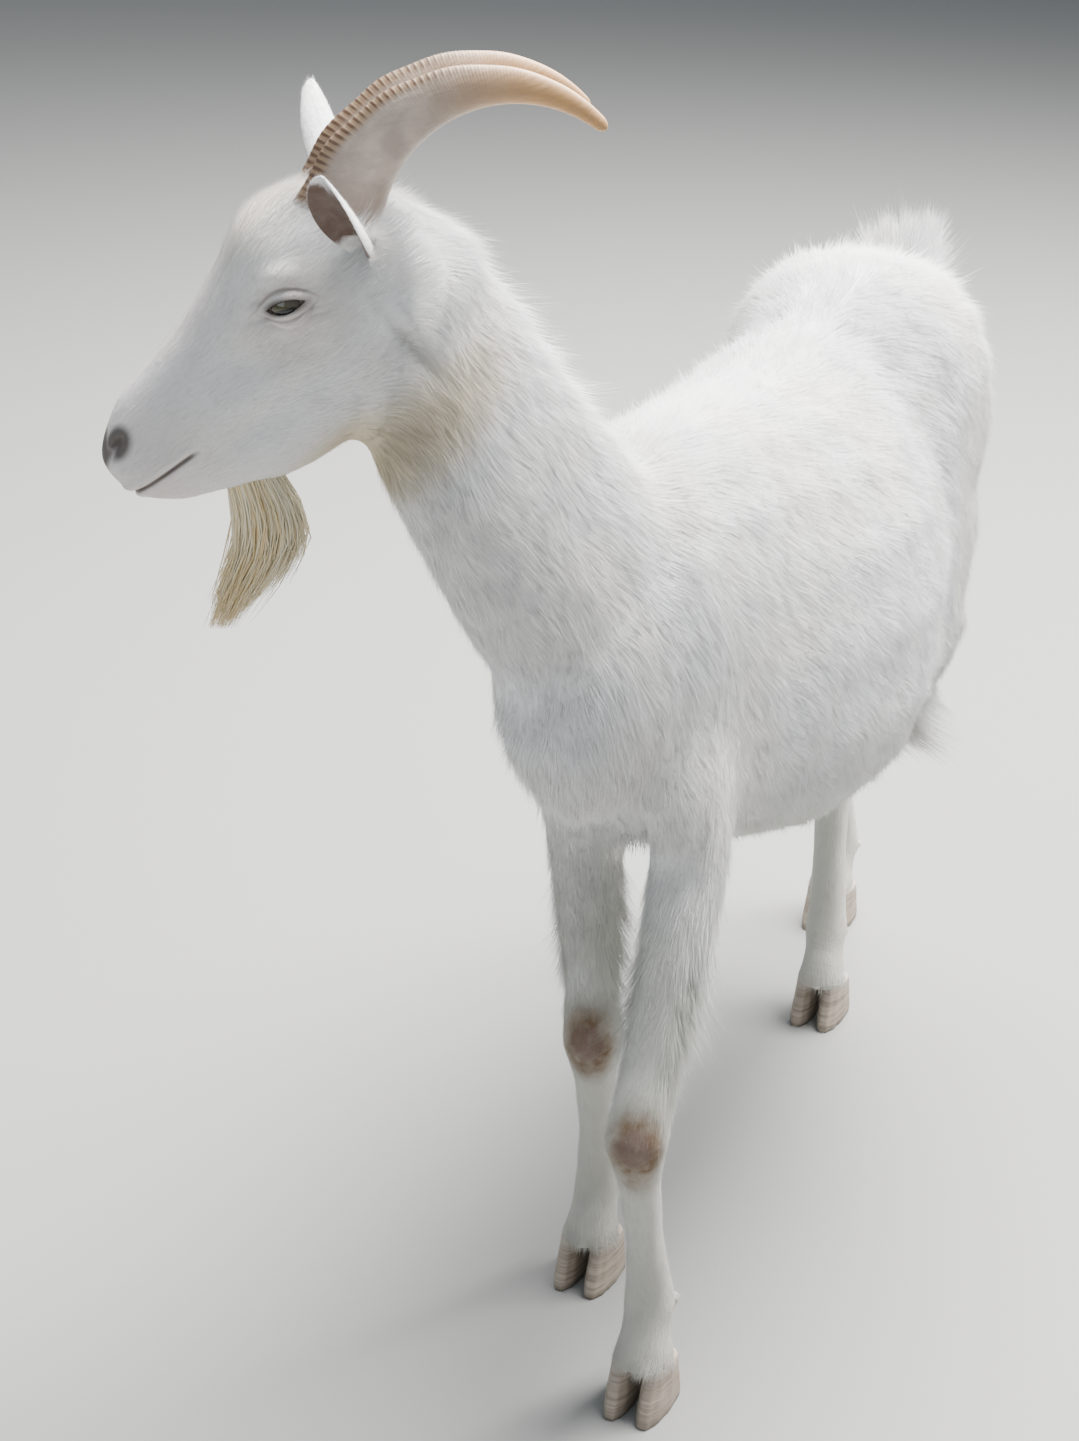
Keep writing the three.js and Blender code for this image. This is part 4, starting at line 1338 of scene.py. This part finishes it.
def unwrap(roots, name):
    """Where roots lie on the region's unwrap: angle round its line, and place along it."""
    places, radii = REGIONS[name]
    axis = unit(places[-1] - places[0])
    first = unit(np.cross(axis, (0.13, 1, 0.21)))
    second = np.cross(axis, first)
    _, where, _ = along_line(roots, places, radii)
    v = roots - places.mean(0)
    angle = np.arctan2(v @ second, v @ first) / (2 * math.pi) + 0.5
    return np.stack([angle, where], 1) * (1 - 2 * TUFT_MARGIN) + TUFT_MARGIN


def hair_mesh(name, tufts, one, along, across, shade, spots):
    """A mesh of tufts (tuft, point, 3) that share the triangles of one, each on its own patch."""
    count, per = tufts.shape[:2]
    triangles = (outwards(tufts[0], one)[None] + (np.arange(count) * per)[:, None, None]).reshape(-1, 3)
    mesh = triangle_mesh(name, tufts.reshape(-1, 3), triangles)
    along, across = np.tile(along, count), np.tile(across, count)
    places = np.repeat(spots, per, axis=0) + np.stack([across * 0.5, along - 0.5], 1) * PATCH
    layer = mesh.uv_layers.new(name="OFBake")
    layer.data.foreach_set("uv", places[triangles.ravel()].astype(np.float32).ravel())
    set_attribute(mesh, "along", along)
    set_attribute(mesh, "shade", np.repeat(shade, per))
    return mesh


# %% [markdown]
# ## The coat's pieces
# The coat is grown in regions, each a piece of its own. Longer tufts cover the neck, the barrel, the rump
# and the tail; shorter and finer ones cover the legs and the face. The eyes, the nose, the lips and the
# insides of the ears stay free. A fifth of the tufts stand up a little more than the rest.

# %% Where each piece grows and how thick it stands
# The region, the number of tufts and their width in millimetres.
COAT_PIECES = {
    "coat_neck": ("neck", 42000, 1.0),
    "coat_trunk_left": ("trunk", 49500, 1.05),
    "coat_trunk_right": ("trunk", 38000, 1.05),
    "coat_back": ("trunk", 32000, 1.05),
    "coat_rump": ("trunk", 32000, 1.05),
    "coat_thigh_left": ("hind_left", 23000, 1.05),
    "coat_thigh_right": ("hind_right", 22000, 1.05),
    "coat_tail": ("tail", 7000, 1.1),
    "coat_fore_left": ("fore_left", 20000, 0.9),
    "coat_fore_right": ("fore_right", 20000, 0.9),
    "coat_shin_left": ("hind_left", 9000, 0.75),
    "coat_shin_right": ("hind_right", 9000, 0.75),
    "coat_head": ("head", 42000, 0.62),
}
own = skin_coat["own"]
head = skin_coat["head"]
share = skin_coat["share"]
side_weight = smooth_step(own[:, 1], -0.012, 0.012)
top_weight = smooth_step(skin_normals[:, 2], 0.45, 0.62)
rump_weight = smooth_step(-own[:, 0], 0.30, 0.34)
low_leg = {name: smooth_step(skin_coat["place"][name], 0.44, 0.50) for name in LEGS}
body_trunk = share["trunk"] * (1 - on_ear)

eye_clear = np.ones(len(skin_points))
for side in SIDES.values():
    at, out, slit, up = eye_frame(side)
    v = head - at / MM
    ellipse = np.sqrt(((v @ slit) / 19) ** 2 + ((v @ up) / 10.5) ** 2)
    eye_clear *= np.where(v @ out > 0, smooth_step(ellipse, 0.85, 1.05), 1)
nose_clear = 1 - smooth_step(head[:, 0], 128, 138) * smooth_step(head[:, 2], -22, -14)
mouth_clear = 1 - smooth_step(head[:, 0], 96, 102) * hump(head[:, 2], mouth_line(head[:, 0]), 3.0)
face_clear = eye_clear * nose_clear * np.clip(mouth_clear, 0, 1)
claw_clear = smooth_step(skin_points[:, 2], 0.040, 0.046) * (1 + 1.5 * hump(skin_points[:, 2], 0.048, 0.008))
stifle_thick = 1 + 3 * skin_coat["stifle"]
density = {
    "coat_neck": share["neck"] * (1 - on_ear),
    "coat_trunk_left": body_trunk * side_weight * (1 - top_weight) * (1 - rump_weight),
    "coat_trunk_right": body_trunk * (1 - side_weight) * (1 - top_weight) * (1 - rump_weight),
    "coat_back": body_trunk * top_weight * (1 - rump_weight),
    "coat_rump": body_trunk * rump_weight,
    "coat_thigh_left": share["hind_left"] * (1 - low_leg["hind_left"]) * stifle_thick,
    "coat_thigh_right": share["hind_right"] * (1 - low_leg["hind_right"]),
    "coat_tail": share["tail"],
    "coat_fore_left": share["fore_left"] * claw_clear,
    "coat_fore_right": share["fore_right"] * claw_clear,
    "coat_shin_left": share["hind_left"] * low_leg["hind_left"] * claw_clear,
    "coat_shin_right": share["hind_right"] * low_leg["hind_right"] * claw_clear,
    "coat_head": share["head"] * face_clear * (in_ear < 0.12) * (1 - 0.3 * on_ear),
}

# %% The hair's finish
HAIR_SHADE = (0.38, 0.37, 0.37)
coat_finish = Finish("coat_hair")
tuft_along = coat_finish.attribute("along")
tuft_shade = coat_finish.attribute("shade")
hair_colour = coat_colour(coat_finish)
# Darker towards each tuft's root: painted shade deep in the coat. The shade attribute varies the tone from
# tuft to tuft.
dark = (1 - tuft_along.step(0.0, 0.45)) * 0.12 + (1 - tuft_shade) * 0.34
hair_colour = coat_finish.mix(dark, hair_colour, HAIR_SHADE)
coat_finish.set(Base_Color=hair_colour, Roughness=0.62, Specular_IOR_Level=0.3, Sheen_Weight=0.15,
                Sheen_Roughness=0.35, Subsurface_Weight=0.0)

# %% Grow the coat
STRAY = 0.075
LOOSE_SHARE = 0.20
LOOSE_LIFT = 0.8
LOOSE_THIN = 0.35
SHADE_MEAN, SHADE_SPREAD = 0.72, 0.18
EAR_HAIR = 4.5 * MM
random = np.random.default_rng(20)
ear_lies = np.zeros_like(skin_points)
for side in SIDES.values():
    along, opens, across, base = ear_frame(side)
    ear_lies += (np.sign(head[:, 1]) == side)[:, None] * (head_axes @ along)
ear_lies -= (ear_lies * skin_normals).sum(1, keepdims=True) * skin_normals
skin_lie = unit(skin_coat["lie"] * (1 - on_ear)[:, None] + unit(ear_lies) * on_ear[:, None])
skin_length = skin_coat["length"] * (1 - on_ear) + EAR_HAIR * on_ear

for name, (region, count, width) in COAT_PIECES.items():
    chosen, weights = spread(count, density[name], random)
    roots = at_roots(skin_points, chosen, weights)
    normals = unit(at_roots(skin_normals, chosen, weights))
    lies = at_roots(skin_lie, chosen, weights)
    length = at_roots(skin_length, chosen, weights)
    lift = at_roots(skin_coat["lift"], chosen, weights)
    clump = 0.12 * wobble(roots, 0.070, 3) + 0.07 * wobble(roots, 0.022, 4)
    lean = clump + random.normal(0, STRAY, count)
    lies = unit(lies + np.cross(normals, lies) * lean[:, None])
    length = length * random.uniform(0.72, 1.18, count) * (1 + 0.07 * wobble(roots, 0.03, 5))
    lift = lift * random.uniform(0.55, 1.35, count) * (1 + 0.12 * wobble(roots, 0.022, 6))
    loose = random.uniform(0, 1, count) < LOOSE_SHARE
    lift = lift * (1 + LOOSE_LIFT * loose)
    curl = random.normal(0, 0.06, count) + 0.08 * wobble(roots, 0.025, 7)
    shade = SHADE_MEAN + 0.12 * wobble(roots, 0.018, 8) + 0.08 * wobble(roots, 0.006, 9)
    shade = np.clip(shade + random.normal(0, SHADE_SPREAD, count), 0, 1)
    thick = width * MM * random.uniform(0.7, 1.25, count) * np.clip(length / (12 * MM), 0.55, 1.1)
    tufts = needle_points(roots, normals, lies, length, thick * (1 - LOOSE_THIN * loose), lift, curl)
    mesh = hair_mesh(name, tufts, NEEDLE_FACES, [0, 0, 0, 1], [*np.cos(CORNERS), 0], shade,
                     unwrap(roots, region))
    mesh.shade_flat()
    piece(name, mesh, coat_finish)
    area = (triangle_areas(skin_points, skin_triangles) * density[name][skin_triangles].mean(1)).sum()
    print(f"{name}: {count / (area * 1e4):.0f} tufts on a square centimetre")

# %% [markdown]
# ## The beard
# The beard hangs from the chin, is widest half way down, and curls forward to a soft point. Its locks are
# long tapered tubes. Each starts on a small oval under the chin, runs through the same swelling and
# narrowing as its neighbours, and ends at a length of its own.

# %% Beard locks
BEARD_ROOT = from_head(np.array([80.0, 0.0, -58.0]) * MM)
BEARD_LOCKS, BEARD_STATIONS, BEARD_SIDES = 2400, 6, 3
BEARD_LENGTH = 122 * MM
LOCK_RADIUS = 0.72 * MM
LOCK_WAVE = 2.4 * MM
# Down the beard: the half-widths to the front and to the side, and how far its middle stands ahead.
BEARD_PLACES = (0, 0.15, 0.3, 0.5, 0.7, 0.85, 1.0)
BEARD_FRONT = (14, 18, 20, 22, 20, 17, 11)
BEARD_SIDE = (11, 14, 16, 16, 12, 8, 4)
BEARD_AHEAD = (0, -4, -11, -13, -3, 8, 18)
BEARD_DEEP, BEARD_PALE, BEARD_BASE = (0.86, 0.66, 0.34), (0.88, 0.80, 0.60), (0.70, 0.58, 0.40)

beard_ahead = unit(head_axes[:, 0] * (1, 1, 0))
beard_side = np.array([-beard_ahead[1], beard_ahead[0], 0])
random = np.random.default_rng(31)
spot = np.sqrt(random.uniform(0, 1, BEARD_LOCKS))
turn_angle = random.uniform(0, 2 * math.pi, BEARD_LOCKS)
lock_front, lock_side = spot * np.cos(turn_angle), spot * np.sin(turn_angle)
behind = np.clip(-lock_front, 0, 1)
reach = random.normal(0.88, 0.12, BEARD_LOCKS) - 0.12 * spot ** 2 - 0.22 * behind
reach = BEARD_LENGTH * np.clip(reach, 0.3, 1.0)
spreading = random.normal(0, 0.16, BEARD_LOCKS) + 0.25 * behind

s = np.linspace(0, 1, BEARD_STATIONS)[None, :]
down = s * reach[:, None]
t = down / BEARD_LENGTH
swelling = MM * (1 + spreading[:, None] * t)
waves = random.uniform(0, 2 * math.pi, (2, BEARD_LOCKS, 1))
size = LOCK_WAVE * t * random.uniform(0.4, 1.6, BEARD_LOCKS)[:, None]
ahead_by = (np.interp(t, BEARD_PLACES, BEARD_AHEAD) * MM
            + lock_front[:, None] * np.interp(t, BEARD_PLACES, BEARD_FRONT) * swelling
            + size * np.sin(7 * t + waves[0]))
side_by = (lock_side[:, None] * np.interp(t, BEARD_PLACES, BEARD_SIDE) * swelling
           + size * np.cos(6 * t + waves[1]))
path = (BEARD_ROOT + ahead_by[..., None] * beard_ahead + side_by[..., None] * beard_side
        + down[..., None] * np.array([0, 0, -1.0]))
thickness = (LOCK_RADIUS * random.uniform(0.5, 1.3, BEARD_LOCKS)[:, None]
             * np.interp(s, (0, 0.15, 0.6, 1), (0.8, 1.0, 0.8, 0.12)))
ring_angles = np.linspace(0, 2 * math.pi, BEARD_SIDES, endpoint=False)
ring = np.cos(ring_angles)[:, None] * beard_ahead + np.sin(ring_angles)[:, None] * beard_side
locks = path[:, :, None] + thickness[..., None, None] * ring[None, None]

beard_points = np.concatenate([locks.reshape(BEARD_LOCKS, -1, 3), path[:, :1], path[:, -1:]], 1)
spots = np.stack([turn_angle / (2 * math.pi), 0.1 + 0.8 * spot], 1) * (1 - 2 * TUFT_MARGIN) + TUFT_MARGIN
shade = np.clip(0.55 * spot + 0.5 * behind + random.normal(0, 0.2, BEARD_LOCKS), 0, 1)
along = [*np.repeat(s[0], BEARD_SIDES), 0, 1]
across = [*np.tile(np.cos(ring_angles), BEARD_STATIONS), 0, 0]
_, lock_faces = shell(locks[0])
beard_mesh = hair_mesh("beard_locks", beard_points, lock_faces, along, across, shade, spots)

beard_finish = Finish("beard_hair")
shade = beard_finish.attribute("shade")
lock_along = beard_finish.attribute("along")
beard_colour = beard_finish.mix(shade.step(0.25, 0.8), BEARD_DEEP, BEARD_PALE)
# Darker at the roots of the locks: painted shade under the chin.
beard_colour = beard_finish.mix((1 - lock_along.step(0.0, 0.35)) * 0.15, beard_colour, BEARD_BASE)
beard_finish.set(Base_Color=beard_colour, Roughness=0.55, Specular_IOR_Level=0.35, Sheen_Weight=0.3)
piece("beard_locks", beard_mesh, beard_finish, ["beard"])
